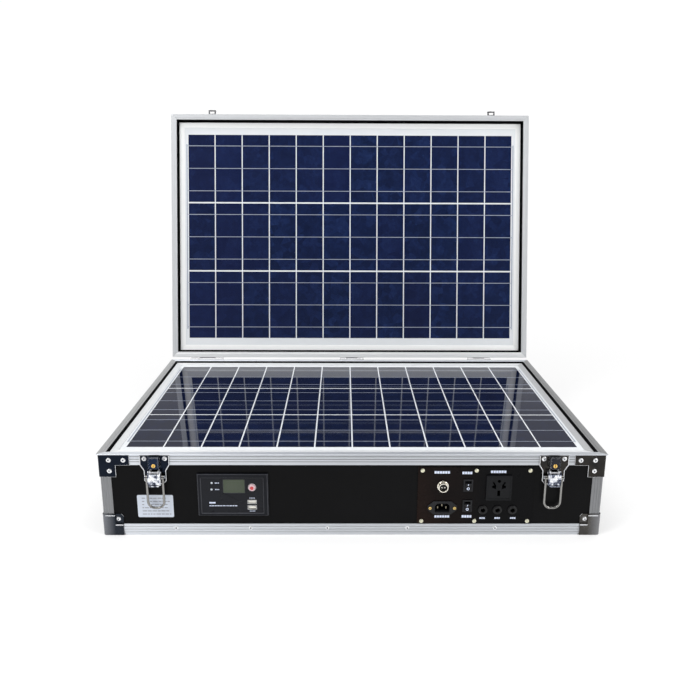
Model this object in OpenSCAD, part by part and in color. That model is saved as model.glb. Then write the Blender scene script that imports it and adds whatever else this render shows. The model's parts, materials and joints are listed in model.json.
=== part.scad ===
// Solar suitcase power station: a flat aluminium-edged case whose base and
// lid each hold one framed photovoltaic panel.  The base also holds the
// battery packs, the inverter-charger, the front sockets and the trolley gear.
// Millimetres, +Z up, +X to the right, front face towards -Y.
// Origin: centre of the underside.

/* [Body] */
// Width over the rim lips
case_w = 828; // [780:1:900]
// Depth over the rim lips
case_d = 562; // [520:1:620]
// Height of the base, from the underside to the mating plane
base_h = 144.5; // [139:0.5:160]
// Thickness of the lid
lid_t = 47; // [46.5:0.5:60]
// How far the lid stands open
lid_open = 103; // [0:1:103]
// Clearance between the two rims when shut
rim_gap = 0.5; // [0.4:0.1:1]

/* [Extrusions] */
// Width of the rim's flat top
rim_w = 12.5; // [12:0.5:14]
// Height of the rim's outer band
band_h = 20; // [17:0.5:20]
// Sheet thickness of the extrusions
ext_t = 1.5; // [1.2:0.1:1.5]
// How far the rim's lip stands out past its band
lip = 3; // [2.5:0.5:3.5]
// Height and width of the legs of the bottom edge rail
rail_h = 19.4; // [17:0.2:20]
// Width of each leg of the corner posts
post_w = 18; // [16:1:20]
// Thickness of the wall panels
wall_t = 6; // [5:0.5:6]
// Thickness of the bottom and lid panels
floor_t = 9; // [8:0.5:10]

/* [Photovoltaic panels] */
// Clearance between rim and panel frame
groove = 4; // [3.5:0.5:6]
// Depth of the panel frame
pv_frame_h = 25; // [22:0.5:25]
// Width of the panel frame's face
pv_face = 12; // [10:0.5:14]
// How far the base panel sits below the mating plane
base_pv_drop = 4; // [2:0.5:10]
// How far the lid panel sits behind the mating plane
lid_pv_drop = 12; // [10:0.5:12]

/* [Hinges and latches] */
// Distance of the hinge axis behind the rim lip
hinge_back = 5.5; // [5.5:0.5:8]
// Distance of the hinge axis below the mating plane
hinge_drop = 2.2; // [0:0.1:2.2]
// Radius of the hinge pins
hinge_pin_r = 2; // [1.5:0.1:2.2]
// Distance of each latch from the middle of the case
latch_x = 324; // [300:1:340]
// Offset of both latches to the right
latch_shift = 3.5; // [0:0.5:5]
// Radius of the latch wire
bail_r = 2; // [1.8:0.1:2.1]

/* [Trolley] */
// Travel of each of the two handle stages
trolley_travel = 265; // [200:5:280]
// Radius of the trolley wheels
wheel_r = 24; // [22:0.5:24]

/* [Hidden] */
$fn = 48;

H = base_h;
hx = case_w / 2;              // outer lip, X
hy = case_d / 2;              // outer lip, Y
fx = hx - lip;                // outer face of bands, rails and posts, X
fy = hy - lip;                // the same, Y
px = fx - ext_t;              // outer face of the wall panels, X
py = fy - ext_t;              // the same, Y
qx = px - wall_t;             // inner face of the wall panels, X
qy = py - wall_t;             // the same, Y
sx = hx - rim_w - groove;     // outer edge of the panel frames, X
sy = hy - rim_w - groove;     // the same, Y
rim_t = 1.5;                  // thickness of the rim flange
hinge_y = hy + hinge_back;
hinge_z = H - hinge_drop;
base_pv_z = H - base_pv_drop;
lid_z0 = H + rim_gap;         // mating plane of the lid, shut
lid_z1 = lid_z0 + lid_t;      // outer face of the lid, shut
mit = 0.05;                   // half the gap in every mitre
rail_leg = 14.5;              // width of the rail's flat leg
hinges = [[-333, 76], [4.5, 55], [302, 54]]; // centre and width
wheel_y = 190;
wheel_x = -(px - 11.9);
wheel_z = wheel_r + 0.4;

// control plate centre and its fittings
cp_x = 202.6; cp_w = 191; cp_z0 = 20; cp_z1 = 121;
gx_x = 148.1; gx_z = 88;
iec_x = 148.2; iec_z = 49.4;
rk_x = 189.5; rk_z = [89.3, 52.5];
ac_x = 240; ac_z = 85.2;
dc_x = [215.5, 239.6, 264.5]; dc_z = 45.4;
// controller
ct_x0 = -253.7; ct_x1 = -137.7; ct_z0 = 36; ct_z1 = 109.5;
bt_x = -164.2; bt_z = 86;
usb_x = -164.7; usb_z = [50, 60];
// trolley
tr_y = 110; tr_z = 42;
// latch pivots
lv_y = -(fy + 6.5); lv_z = H - 30.5; bl_z = H - 38.5;

// ---------- helpers ----------
module from_front(x, z, y = 0) { translate([x, -fy - y, z]) rotate([90, 0, 0]) children(); }
module four(L, W) {
  translate([0, -W / 2, 0]) children(0);
  translate([0, W / 2, 0]) rotate([0, 0, 180]) children(0);
  translate([-L / 2, 0, 0]) rotate([0, 0, -90]) children(1);
  translate([L / 2, 0, 0]) rotate([0, 0, 90]) children(1);
}
// one mitred length: the profile's x runs inwards from the outer edge
module mitred(L, pts) {
  difference() {
    rotate([90, 0, 90]) linear_extrude(L, center = true) polygon(pts);
    translate([L / 2 - mit, 0, -500]) rotate([0, 0, 45]) translate([0, -500, 0]) cube(1000);
    translate([-L / 2 + mit, 0, -500]) rotate([0, 0, 135]) translate([0, -500, 0]) cube(1000);
  }
}
module ring_of(L, W, pts) {
  four(L, W) { mitred(L, pts); mitred(W, pts); }
}
module corners() {
  for (i = [-1, 1], j = [-1, 1]) mirror([i < 0 ? 1 : 0, 0, 0]) mirror([0, j < 0 ? 1 : 0, 0]) children();
}
module open_lid() {
  translate([0, hinge_y, hinge_z]) rotate([-lid_open, 0, 0]) translate([0, -hinge_y, -hinge_z]) children();
}
module to_lid() { translate([0, 0, lid_z1]) mirror([0, 0, 1]) children(); }
// blind rivet: domed head with the mandrel's dimple, standing on +Z
module rivet(r = 3.2) {
  h = 1.3; R = (r * r + h * h) / (2 * h);
  difference() {
    translate([0, 0, h - R]) sphere(R);
    translate([0, 0, -2 * R]) cylinder(h = 2 * R, r = 2 * R);
    translate([0, 0, h - 0.5]) cylinder(h = 2, r = 1.2);
  }
}
module at_latch(s) { translate([s * latch_x + latch_shift, 0, 0]) children(); }
module at_front(x, z, y) { translate([x, -y, z]) rotate([90, 0, 0]) children(); }
module at_side(s, y, z, x) { translate([s * x, y, z]) rotate([0, s * 90, 0]) children(); }
module at_back(x, z, y) { translate([x, y, z]) rotate([-90, 0, 0]) children(); }
module wire(pts, r) {
  for (i = [0:len(pts) - 2]) {
    d = pts[i + 1] - pts[i]; L = norm(d);
    translate(pts[i]) rotate([0, acos(d[2] / L), atan2(d[1], d[0])]) cylinder(h = L, r = r);
  }
  for (i = [1:len(pts) - 2]) translate(pts[i]) sphere(r);
}

// ---------- profiles: x inwards from the outer lip, y up ----------
// rim for the base, with its mating face at z = 0 and three grooves in its band
rim_pts = [[0, 0], [0, -rim_t], [lip, -rim_t],
  [lip, -4.8], [lip + .6, -5.3], [lip, -5.8], [lip, -9.2], [lip + .6, -9.7], [lip, -10.2],
  [lip, -13.6], [lip + .6, -14.1], [lip, -14.6], [lip, -band_h], [lip + ext_t, -band_h],
  [lip + ext_t, -rim_t], [rim_w - ext_t, -rim_t], [rim_w - ext_t, -13], [rim_w, -13],
  [rim_w, -0.6], [rim_w - 3.6, -0.6], [rim_w - 4.2, 0]];
// edge rail, outer edge at x = 0, lower face at z = 0
rail_pts = [[0, 0], [rail_leg, 0], [rail_leg, ext_t], [ext_t, ext_t], [ext_t, rail_h], [0, rail_h],
  [0, rail_h - 4.2], [.6, rail_h - 4.7], [0, rail_h - 5.2], [0, rail_h - 9.2], [.6, rail_h - 9.7],
  [0, rail_h - 10.2], [0, rail_h - 14.2], [.6, rail_h - 14.7], [0, rail_h - 15.2]];
// panel frame, outer edge at x = 0, face at z = 0
pvf_pts = [[0, 0], [pv_face / 2, 0], [pv_face, -.7], [pv_face, -1], [1.6, -1], [1.6, -5.3], [10, -5.3],
  [10, -6.8], [1.6, -6.8], [1.6, -pv_frame_h + 1.5], [14, -pv_frame_h + 1.5], [14, -pv_frame_h],
  [0, -pv_frame_h]];

module rim() { ring_of(case_w, case_d, rim_pts); }
module rails() {
  difference() {
    ring_of(2 * fx, 2 * fy, rail_pts);
    // the flat legs stop at the corner protectors
    corners() translate([fx - 34.6, fy - 34.6, -1]) difference() {
      cube([60, 60, ext_t + 1.05]);
      translate([-1, -1, -1]) cube([34.6 - rail_leg, 34.6 - rail_leg, 9]);
    }
  }
}
module pv_frame() { ring_of(2 * sx, 2 * sy, pvf_pts); }
module pv_laminate() {
  translate([-sx + 1.7, -sy + 1.7, -5.2]) cube([2 * sx - 3.4, 2 * sy - 3.4, 4.2]);
}
module junction_box() {
  difference() {
    translate([-52, 150, -20]) cube([104, 62, 14.8]);
    for (i = [-1, 1]) translate([i * 30, 140, -14.5]) rotate([-90, 0, 0]) cylinder(h = 24, r = 3.2);
    translate([-46, 156, -21]) cube([92, 50, 2.5]);
  }
}
module bead(z, t = 1.8) { polygon([[0, z - 3.4], [t, z - 3.4], [t + .6, z - 2.8], [t - .6, z], [0, z]]); }
// bottom corner protector in the +X +Y corner: three skins joined at the corner
module protector(lug = 18) {
  t = 1.8;
  difference() {
    union() {
      for (m = [0, 1]) {
        // side skins
        if (m == 0) translate([0, fy, 0]) {
          translate([fx - 20, 0, 0]) cube([20 + t, t, 37.4]);
          translate([fx - 32.5, 0, 0]) cube([32.5, t, 20.6]);
        } else translate([fx, 0, 0]) {
          translate([0, fy - 20, 0]) cube([t, 20, 37.4]);
          translate([0, fy - 32.5, 0]) cube([t, 32.5, 20.6]);
        }
      }
      // beaded upper edges
      translate([fx - 20, fy, 0]) rotate([90, 0, 90]) linear_extrude(20 + t) bead(37.4);
      translate([fx - 32.5, fy, 0]) rotate([90, 0, 90]) linear_extrude(12.5) bead(20.6);
      mirror([1, -1, 0]) {
        translate([fy - 20, fx, 0]) rotate([90, 0, 90]) linear_extrude(20 + t) bead(37.4);
        translate([fy - 32.5, fx, 0]) rotate([90, 0, 90]) linear_extrude(12.5) bead(20.6);
      }
      // flat legs
      translate([fx - 34.5, fy - rail_leg + .1, 0]) cube([34.5, rail_leg, ext_t]);
      translate([fx - rail_leg + .1, fy - 34.5, 0]) cube([rail_leg, 34.5, ext_t]);
      // rivet lugs, set down on the wall panels
      translate([fx - 33, py, 19.4]) cube([16, 1.5 + t, 1.2]);
      translate([fx - 33, py, 19.4]) cube([15, 1.2, lug]);
      translate([fx - 20, py, 20.5]) cube([2, 1.5 + t, lug - 1.1]);
      translate([px, fy - 33, 19.4]) cube([1.5 + t, 16, 1.2]);
      translate([px, fy - 33, 19.4]) cube([1.2, 15, lug]);
      translate([px, fy - 20, 20.5]) cube([1.5 + t, 2, lug - 1.1]);
    }
    // rounded outer upright edge
    translate([fx + t - 6, fy + t - 6, -1]) difference() {
      cube([7, 7, 60]);
      cylinder(h = 60, r = 6);
    }
    // rounded lug corners
    translate([fx - 33 + 6, py - 1, 19.4 + lug - 6]) rotate([-90, 0, 0]) difference() {
      translate([-7, -7, 0]) cube([7, 7, 2.6]);
      cylinder(h = 2.6, r = 6);
    }
    translate([px - 1, fy - 33 + 6, 19.4 + lug - 6]) rotate([0, 90, 0]) difference() {
      translate([-7, -7, 0]) cube([7, 7, 2.6]);
      cylinder(h = 2.6, r = 6);
    }
    // room for the posts, rails and panels behind
    translate([fx - 18, fy - 18, ext_t]) cube([18, 18, 60]);
    translate([fx - 60, fy - 60, ext_t]) cube([60, 60, rail_h - ext_t]);
    translate([fx - 60, fy - 60, ext_t]) cube([60 - ext_t, 60 - ext_t, 70]);
  }
}
module protector_rivets(z = 28.2, r = 3.7) {
  corners() {
    translate([fx - 24.6, py + 1.2, z]) rotate([-90, 0, 0]) rivet(r);
    translate([px + 1.2, fy - 24.6, z]) rotate([0, 90, 0]) rivet(r);
  }
}

// ---------- base ----------
module base_bottom_panel() {
  color([.09, .09, .1]) difference() {
    union() {
      translate([-px, -py, ext_t]) cube([2 * px, 2 * py, floor_t - ext_t]);
      translate([-fx + rail_leg + .1, -fy + rail_leg + .1, 0])
        cube([2 * (fx - rail_leg - .1), 2 * (fy - rail_leg - .1), 2]);
    }
    for (s = [-1, 1]) translate([-px - 1, s * wheel_y - 16.6, -1]) cube([44.6, 33.2, 12]);
  }
}
module base_front_panel() {
  color([.07, .07, .08]) difference() {
    translate([-qx, -py, floor_t]) cube([2 * qx, wall_t, H - rim_t - floor_t]);
    translate([ct_x0 + 5.7, -py - 1, ct_z0 + 5]) cube([ct_x1 - ct_x0 - 11.4, wall_t + 2, ct_z1 - ct_z0 - 10]);
    translate([cp_x - 84, -py - 1, 31]) cube([168, wall_t + 2, 79]);
  }
}
module base_side_panels() {
  color([.07, .07, .08]) {
    // back, with the ventilation slots of the inverter bay
    difference() {
      translate([-qx, qy, floor_t]) cube([2 * qx, wall_t, H - rim_t - floor_t]);
      for (i = [0:11], k = [0, 1]) translate([96 + i * 12, qy - 1, 38 + k * 34]) cube([4.5, wall_t + 2, 26]);
    }
    // left, with the wheel wells
    difference() {
      translate([-px, -py, floor_t]) cube([wall_t, 2 * py, H - rim_t - floor_t]);
      for (s = [-1, 1]) translate([-px - 1, s * wheel_y - 16.6, 0]) cube([wall_t + 2, 33.2, 54.6]);
    }
    // right, with the opening of the handle cup
    difference() {
      translate([qx, -py, floor_t]) cube([wall_t, 2 * py, H - rim_t - floor_t]);
      translate([qx - 1, -140.2, 23.8]) cube([wall_t + 2, 280.4, 56.4]);
    }
  }
}
module base_top_rim() { color([.8, .81, .83]) translate([0, 0, H]) rim(); }
module base_bottom_rails() {
  color([.8, .81, .83]) difference() {
    rails();
    for (s = [-1, 1]) translate([-fx - 1, s * wheel_y - 16.6, -1]) cube([18, 33.2, 30]);
  }
}
module base_corner_posts() {
  z0 = rail_h + .05; z1 = H - band_h - .05;
  color([.8, .81, .83]) corners() difference() {
    translate([0, 0, z0]) linear_extrude(z1 - z0) difference() {
      polygon([[fx, fy - post_w], [fx, fy], [fx - post_w, fy], [fx - post_w, py],
        [px, py], [px, fy - post_w]]);
      // three flutes in each leg
      for (k = [4.5, 9, 13.5]) {
        translate([fx - k, fy]) rotate(45) square(.9, center = true);
        translate([fx, fy - k]) rotate(45) square(.9, center = true);
      }
      translate([fx - 3.2, fy - 3.2]) difference() { square(5); circle(3.2); }
    }
  }
}
module base_corner_plates() {
  t = 1.5; z1 = H - rim_t - .05;
  // the rear pair is cut back beside the hinges
  color([.75, .75, .77]) for (i = [-1, 1], j = [-1, 1])
    mirror([i < 0 ? 1 : 0, 0, 0]) mirror([0, j < 0 ? 1 : 0, 0]) difference() {
    a = j < 0 ? 50 : 38;
    union() {
      translate([fx - a, fy, z1 - 18.5]) cube([a + t, t, 18.5]);
      translate([fx - 27, fy, z1 - 39]) cube([27 + t, t, 39]);
      translate([fx, fy - 50, z1 - 18.5]) cube([t, 50 + t, 18.5]);
      translate([fx, fy - 27, z1 - 39]) cube([t, 27 + t, 39]);
    }
    translate([fx + t - 4, fy + t - 4, 0]) difference() { cube([6, 6, 200]); cylinder(h = 200, r = 4); }
  }
}
module base_corner_protectors() { color([.75, .75, .77]) corners() protector(); }
module base_rivets() {
  zt = H - 11; t = 1.5;
  color([.82, .82, .84]) {
    for (x = [-292, -168.5, -41.5, 91.5, 237.5]) {
      at_front(x, 12, fy) rivet(3.2);
      at_back(x, 12, fy) rivet(3.2);
    }
    for (s = [-1, 1], y = [-128, 0, 128]) at_side(s, y, 12, fx) rivet(3.2);
    for (i = [-1, 1], j = [-1, 1]) mirror([i < 0 ? 1 : 0, 0, 0]) mirror([0, j < 0 ? 1 : 0, 0]) {
      for (p = [[16.4, zt], [j < 0 ? 40 : 31, zt], [16.6, zt - 18.8]])
        translate([fx - p[0], fy + t, p[1]]) rotate([-90, 0, 0]) rivet(3.8);
      for (p = [[16.4, zt], [40, zt], [16.6, zt - 18.8]])
        translate([fx + t, fy - p[0], p[1]]) rotate([0, 90, 0]) rivet(3.8);
    }
    protector_rivets();
    for (s = [-1, 1], d = [-16.5, 16.5]) at_latch(s) at_front(d, H - 8.5, fy + 1.2) rivet(3.9);
    for (h = hinges, d = [-.34, .34]) at_back(h[0] + d * h[1], hinge_z - 20, fy + 1.5) rivet(2.6);
    for (s = [-1, 1], w = [-20.2, 20.2], z = [30, 57]) at_side(-1, s * wheel_y + w, z, px + 1.5) rivet(2.4);
  }
}
module base_panel_battens() {
  z0 = base_pv_z - pv_frame_h - 10;
  color([.05, .05, .05]) {
    for (r = [[-qx + .1, -262], [-128, 104], [302, qx - .1]])
      translate([r[0], -qy, z0]) cube([r[1] - r[0], 20, 10]);
    translate([-qx + .1, qy - 20, z0]) cube([2 * qx - .2, 20, 10]);
    for (s = [-1, 1]) translate([s > 0 ? qx - 20 : -qx, -qy + 20.1, z0]) cube([20, 2 * qy - 40.2, 10]);
  }
}
module base_pv_frame() { color([.85, .86, .87]) translate([0, 0, base_pv_z]) pv_frame(); }
module base_pv_laminate() { color([.09, .14, .32]) translate([0, 0, base_pv_z]) pv_laminate(); }
module base_pv_junction_box() { color([.06, .06, .06]) translate([0, 0, base_pv_z]) junction_box(); }

// ---------- hinges: three knuckles on one pin, leaves joggled out past the lips ----------
module leaf(w, mid) {
  // flat part and joggle over the full width, knuckles on part of it
  difference() {
    union() {
      translate([-w / 2, 0, 0]) rotate([90, 0, 90]) linear_extrude(w)
        polygon([[fy, -29], [fy + 1.5, -29], [fy + 1.5, -6.4], [hinge_y - 4.8, -6.4], [hinge_y - 4.8, -4.9], [fy, -4.9]]);
      for (r = mid ? [[-w / 4 + .2, w / 4 - .2]] : [[-w / 2, -w / 4 - .2], [w / 4 + .2, w / 2]])
        translate([r[0], 0, 0]) {
          rotate([90, 0, 90]) linear_extrude(r[1] - r[0])
            polygon([[hinge_y - 5, -6.4], [hinge_y + 2, -6.4], [hinge_y + 3.6, -4.5], [hinge_y + 3.6, 0],
              [hinge_y - 3.6, 0], [hinge_y - 3.6, -4.9], [hinge_y - 5, -4.9]]);
          translate([0, hinge_y, 0]) rotate([0, 90, 0]) cylinder(h = r[1] - r[0], r = 4);
        }
    }
    translate([-w, hinge_y, 0]) rotate([0, 90, 0]) cylinder(h = 2 * w, r = hinge_pin_r + .06);
  }
}
module hinge_base_leaves() {
  color([.8, .8, .82]) for (h = hinges) translate([h[0], 0, hinge_z]) leaf(h[1], false);
}
module hinge_pins() {
  color([.6, .6, .62]) for (h = hinges)
    translate([h[0] - h[1] / 2 - .8, hinge_y, hinge_z]) rotate([0, 90, 0]) cylinder(h = h[1] + 1.6, r = hinge_pin_r);
}
module hinge_lid_leaves() {
  color([.8, .8, .82]) open_lid() for (h = hinges)
    translate([h[0], 0, hinge_z]) mirror([0, 0, 1]) leaf(h[1], true);
}

// ---------- latches ----------
module latch_outline(k) {
  polygon([[-24 + k, 139.9 - k], [24 - k, 139.9 - k], [24 - k, 122.4 + k / 2], [18 - k, 112.4 + k / 2],
    [18 - k, 95 + k / 2], [13 - k / 2, 89 + k], [-13 + k / 2, 89 + k], [-18 + k, 95 + k / 2],
    [-18 + k, 112.4 + k / 2], [-24 + k, 122.4 + k / 2]]);
}
// drawn around its place in a base 141.5 high, then lifted with the mating plane
module latch_plates() {
  color([.78, .78, .8]) for (s = [-1, 1]) at_latch(s) translate([0, 0, H - 141.5]) difference() {
    union() {
      translate([0, -fy, 0]) rotate([90, 0, 0]) linear_extrude(1.2) latch_outline(0);
      translate([0, -fy, 0]) rotate([90, 0, 0]) linear_extrude(2) difference() {
        latch_outline(0); latch_outline(1.2);
        translate([-30, 139]) square([60, 5]);
      }
      // lock housing
      translate([-8.5, -fy - 9, 118]) cube([17, 8, 20.6]);
      translate([-7, -fy - 9.8, 119.5]) cube([14, 1.2, 17.6]);
      // pivot ears and pin
      for (e = [-1, 1]) translate([e > 0 ? 6 : -7.5, 0, 0]) {
        translate([0, lv_y, 107.1]) cube([1.5, 5.5, 7.8]);
        translate([0, lv_y, 111]) rotate([0, 90, 0]) cylinder(h = 1.5, r = 3.9);
      }
      translate([-10.7, lv_y, 111]) rotate([0, 90, 0]) cylinder(h = 21.4, r = 1.5);
    }
    translate([0, -fy - 12, 124]) rotate([-90, 0, 0]) cylinder(h = 9, r = 3.35);
  }
}
module lock_cylinder(s) {
  color([.83, .62, .25]) at_latch(s) translate([0, -fy - 3.1, H - 17.5]) rotate([90, 0, 0]) difference() {
    union() { cylinder(h = 7, r = 3.28); translate([0, 0, 7]) cylinder(h = .5, r = 2.7); }
    translate([-.5, -2.1, 4.5]) cube([1, 4.2, 4]);
  }
}
module left_lock_cylinder() { lock_cylinder(-1); }
module right_lock_cylinder() { lock_cylinder(1); }
module latch_lever(s) {
  color([.8, .8, .82]) at_latch(s) translate([0, lv_y, lv_z]) difference() {
    union() {
      // tongue, with a lifted tip
      translate([-10.5, -5.6, -20]) cube([21, 1.2, 19]);
      translate([-8, -8, -21.5]) cube([16, 3.6, 1.6]);
      // cheeks
      for (e = [-1, 1]) translate([e > 0 ? 9 : -10.5, 0, 0]) {
        translate([0, -5.6, -12]) cube([1.5, 8.2, 11]);
        translate([0, -5.6, -4]) cube([1.5, 5.6, 5.5]);
        rotate([0, 90, 0]) cylinder(h = 1.5, r = 3.3);
      }
      // bail pivot, headed at both ends
      translate([-15.6, 0, bl_z - lv_z]) rotate([0, 90, 0]) cylinder(h = 31.2, r = 1.6);
      for (e = [-1, 1]) translate([e > 0 ? 15.5 : -16.4, 0, bl_z - lv_z]) rotate([0, 90, 0]) cylinder(h = .9, r = 2.6);
      // raised knuckle bar over the cheeks
      translate([-10.5, -6.8, -9.5]) cube([21, 1.3, 3]);
    }
    translate([-20, 0, 0]) rotate([0, 90, 0]) cylinder(h = 40, r = 1.56);
  }
}
module left_latch_lever() { latch_lever(-1); }
module right_latch_lever() { latch_lever(1); }
module bail(s) {
  lx = 13.1; cr = 11; zb = H - 92.5;
  color([.78, .78, .8]) at_latch(s) translate([0, lv_y, 0]) {
    difference() {
      union() {
        for (e = [-1, 1]) {
          translate([e * lx - (e > 0 ? 2.1 : 2), 0, bl_z]) rotate([0, 90, 0]) cylinder(h = 4.1, r = 3.7);
          translate([e * lx, 0, zb + cr]) cylinder(h = bl_z - zb - cr, r = bail_r);
          translate([e * (lx - cr), 0, zb + cr]) rotate([90, 0, 0])
            rotate([0, 0, e > 0 ? 270 : 180]) rotate_extrude(angle = 90) translate([cr, 0]) circle(bail_r);
        }
        translate([-(lx - cr), 0, zb]) rotate([0, 90, 0]) cylinder(h = 2 * (lx - cr), r = bail_r);
      }
      translate([-30, 0, bl_z]) rotate([0, 90, 0]) cylinder(h = 60, r = 1.68);
    }
  }
}
module left_latch_bail() { bail(-1); }
module right_latch_bail() { bail(1); }

// ---------- charge controller ----------
module controller_housing() {
  w = ct_x1 - ct_x0; h = ct_z1 - ct_z0;
  color([.1, .1, .11]) difference() {
    union() {
      translate([ct_x0, -fy - 3, ct_z0]) cube([w, 3 + ext_t, h]);
      translate([ct_x0 + 6, -py, ct_z0 + 5.3]) cube([w - 12, 34, h - 10.6]);
    }
    // recessed face
    translate([ct_x0 + 6, -fy - 4, ct_z0 + 4]) cube([w - 14, 2.5, h - 10.5]);
    // window, button well and USB openings
    translate([-211.2, -fy - 2, 76]) cube([35, 2, 23.5]);
    from_front(bt_x, bt_z, -12) cylinder(h = 16, r = 5.7);
    for (z = usb_z) translate([usb_x - 7.6, -fy - 2, z - 3.6]) cube([15.2, 18, 7.2]);
    // bevel of the bezel's outer edge, left and right
    for (x = [ct_x0, ct_x1]) translate([x, -fy - 3, ct_z0 - 1]) rotate([0, 0, 45]) cube([2, 2, h * 3], center = true);
  }
}
module controller_lcd() {
  color([.45, .5, .46]) translate([-211.1, -fy - 1.4, 76.1]) cube([34.8, 1.3, 23.3]);
}
module controller_button() {
  color([.75, .1, .12]) from_front(bt_x, bt_z, -8) {
    cylinder(h = 12.2, r = 5.4);
    translate([0, 0, 12.2]) cylinder(h = .6, r = 4.6);
  }
}
module usb_sockets() {
  color([.75, .75, .77]) for (z = usb_z) {
    difference() {
      translate([usb_x - 7.4, -fy - 1.6, z - 3.4]) cube([14.8, 16, 6.8]);
      translate([usb_x - 6.8, -fy - 2, z - 2.8]) cube([13.6, 15.4, 5.6]);
    }
    translate([usb_x - 5.6, -fy + 3.2, z + .2]) cube([11.2, 10.8, 2]);
  }
}

// ---------- control plate ----------
module control_plate() {
  color([.09, .08, .08]) difference() {
    translate([cp_x - cp_w / 2, -fy, cp_z0]) cube([cp_w, ext_t, cp_z1 - cp_z0]);
    from_front(gx_x, gx_z, -4) cylinder(h = 8, r = 8);
    translate([iec_x - 13.9, -fy - 1, iec_z - 10.3]) cube([27.8, 4, 20.6]);
    for (z = rk_z) translate([rk_x - 6.7, -fy - 1, z - 9.7]) cube([13.4, 4, 19.4]);
    translate([ac_x - 19, -fy - 1, ac_z - 19.8]) cube([38, 4, 39.6]);
    for (x = dc_x) from_front(x, dc_z, -4) cylinder(h = 8, r = 6.1);
  }
}
module panel_screws() {
  color([.87, .86, .78]) {
    for (x = [-88.3, -.3, 87.6], z = [25, 115.3]) from_front(cp_x + x, z) difference() {
      union() { cylinder(h = 1.1, r = 3.4); translate([0, 0, 1.1]) cylinder(h = .9, r1 = 3.4, r2 = 2); }
      translate([-2.2, -.4, 1.2]) cube([4.4, .8, 2]);
      translate([-.4, -2.2, 1.2]) cube([.8, 4.4, 2]);
    }
    for (s = [-1, 1]) from_front(iec_x + s * 20.2, iec_z, 2.5) difference() {
      cylinder(h = 1, r = 2.6);
      translate([-1.8, -.3, .5]) cube([3.6, .6, 2]);
      translate([-.3, -1.8, .5]) cube([.6, 3.6, 2]);
    }
  }
}
module aviation_socket_shell() {
  color([.85, .84, .8]) from_front(gx_x, gx_z) difference() {
    union() {
      cylinder(h = 2, r = 9.4);
      translate([0, 0, 2]) cylinder(h = 7, r = 8);
      translate([0, 0, -14]) cylinder(h = 14, r = 7.9);
    }
    translate([0, 0, -15]) cylinder(h = 30, r = 6.4);
  }
}
module aviation_socket_core() {
  color([.1, .1, .1]) from_front(gx_x, gx_z) {
    translate([0, 0, -13.5]) cylinder(h = 15, r = 6.3);
    for (s = [-1, 1]) translate([s * 2.4, 0, 1.5]) cylinder(h = 5.5, r = .95);
  }
}
module iec_inlet_body() {
  color([.1, .1, .11]) translate([iec_x, -fy, iec_z]) difference() {
    union() {
      rotate([90, 0, 0]) linear_extrude(2.5)
        polygon([[-24.2, -3.4], [-24.2, 3.4], [-14.5, 11.7], [14.5, 11.7], [24.2, 3.4], [24.2, -3.4],
          [14.5, -11.7], [-14.5, -11.7]]);
      translate([-13.7, 0, -10.1]) cube([27.4, 22, 20.2]);
    }
    // inlet well with its two bevelled upper corners
    translate([0, 17, 0]) rotate([90, 0, 0]) linear_extrude(30)
      polygon([[-12, -7.8], [12, -7.8], [12, 3.4], [8.2, 7.8], [-8.2, 7.8], [-12, 3.4]]);
  }
}
module iec_inlet_pins() {
  color([.85, .8, .6]) for (p = [[-7, -2.2], [0, 2], [7, -2.2]])
    translate([iec_x + p[0] - 1, -fy + 4, iec_z + p[1] - 2]) cube([2, 13, 4]);
}
module rocker_housings() {
  color([.09, .09, .1]) for (z = rk_z) translate([rk_x, -fy, z]) difference() {
    union() {
      translate([-7.8, -2, -10.6]) cube([15.6, 2, 21.2]);
      translate([-6.6, 0, -9.6]) cube([13.2, 19, 19.2]);
    }
    translate([-5.2, -5, -7.9]) cube([10.4, 20, 15.8]);
    translate([-7, 5.5, 0]) rotate([0, 90, 0]) cylinder(h = 14, r = 1.06);
  }
}
module rocker(z) {
  color([.12, .12, .13]) translate([rk_x, -fy + 5.5, z]) rotate([10, 0, 0]) {
    rotate([90, 0, 90]) linear_extrude(9.8, center = true)
      polygon([[3, -3], [-4.5, -6.2], [-9.5, -6], [-8.9, -4.5], [-7.9, 0], [-8.9, 4.5], [-9.5, 6], [-4.5, 6.2], [3, 3]]);
    rotate([0, 90, 0]) cylinder(h = 12.4, r = 1, center = true);
  }
}
module upper_rocker() { rocker(rk_z[0]); }
module lower_rocker() { rocker(rk_z[1]); }
module outlet_socket() {
  color([.12, .12, .13]) translate([ac_x, -fy, ac_z]) difference() {
    union() {
      translate([-20.9, -3.2, -21.8]) cube([41.8, 3.2, 43.6]);
      translate([-18.8, 0, -19.6]) cube([37.6, 22, 39.2]);
    }
    translate([-18.6, -4, -19.4]) cube([37.2, 1.6, 38.8]);
    // slots of the universal pattern
    translate([0, 12, 0]) rotate([90, 0, 0]) linear_extrude(20) union() {
      for (s = [-1, 1]) {
        translate([s * 7.6, 6.5]) rotate(-s * 30) square([2.6, 9], center = true);
        translate([s * 9.2, 2]) circle(2.5);
        translate([s * 6.3, 2]) square([2.6, 7.5], center = true);
      }
      translate([0, -9.5]) square([4.6, 10], center = true);
      translate([0, 12]) circle(2.6);
    }
  }
}
module dc_sockets() {
  color([.08, .08, .09]) for (x = dc_x) from_front(x, dc_z) difference() {
    union() {
      cylinder(h = 2.4, r = 7.6);
      translate([0, 0, 2.4]) cylinder(h = 1.2, r = 6.2);
      translate([0, 0, -18]) cylinder(h = 18, r = 6);
    }
    difference() {
      translate([0, 0, -9]) cylinder(h = 16, r = 3.9);
      translate([0, 0, -9.5]) cylinder(h = 6.5, r = 1.05);
    }
  }
}

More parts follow.
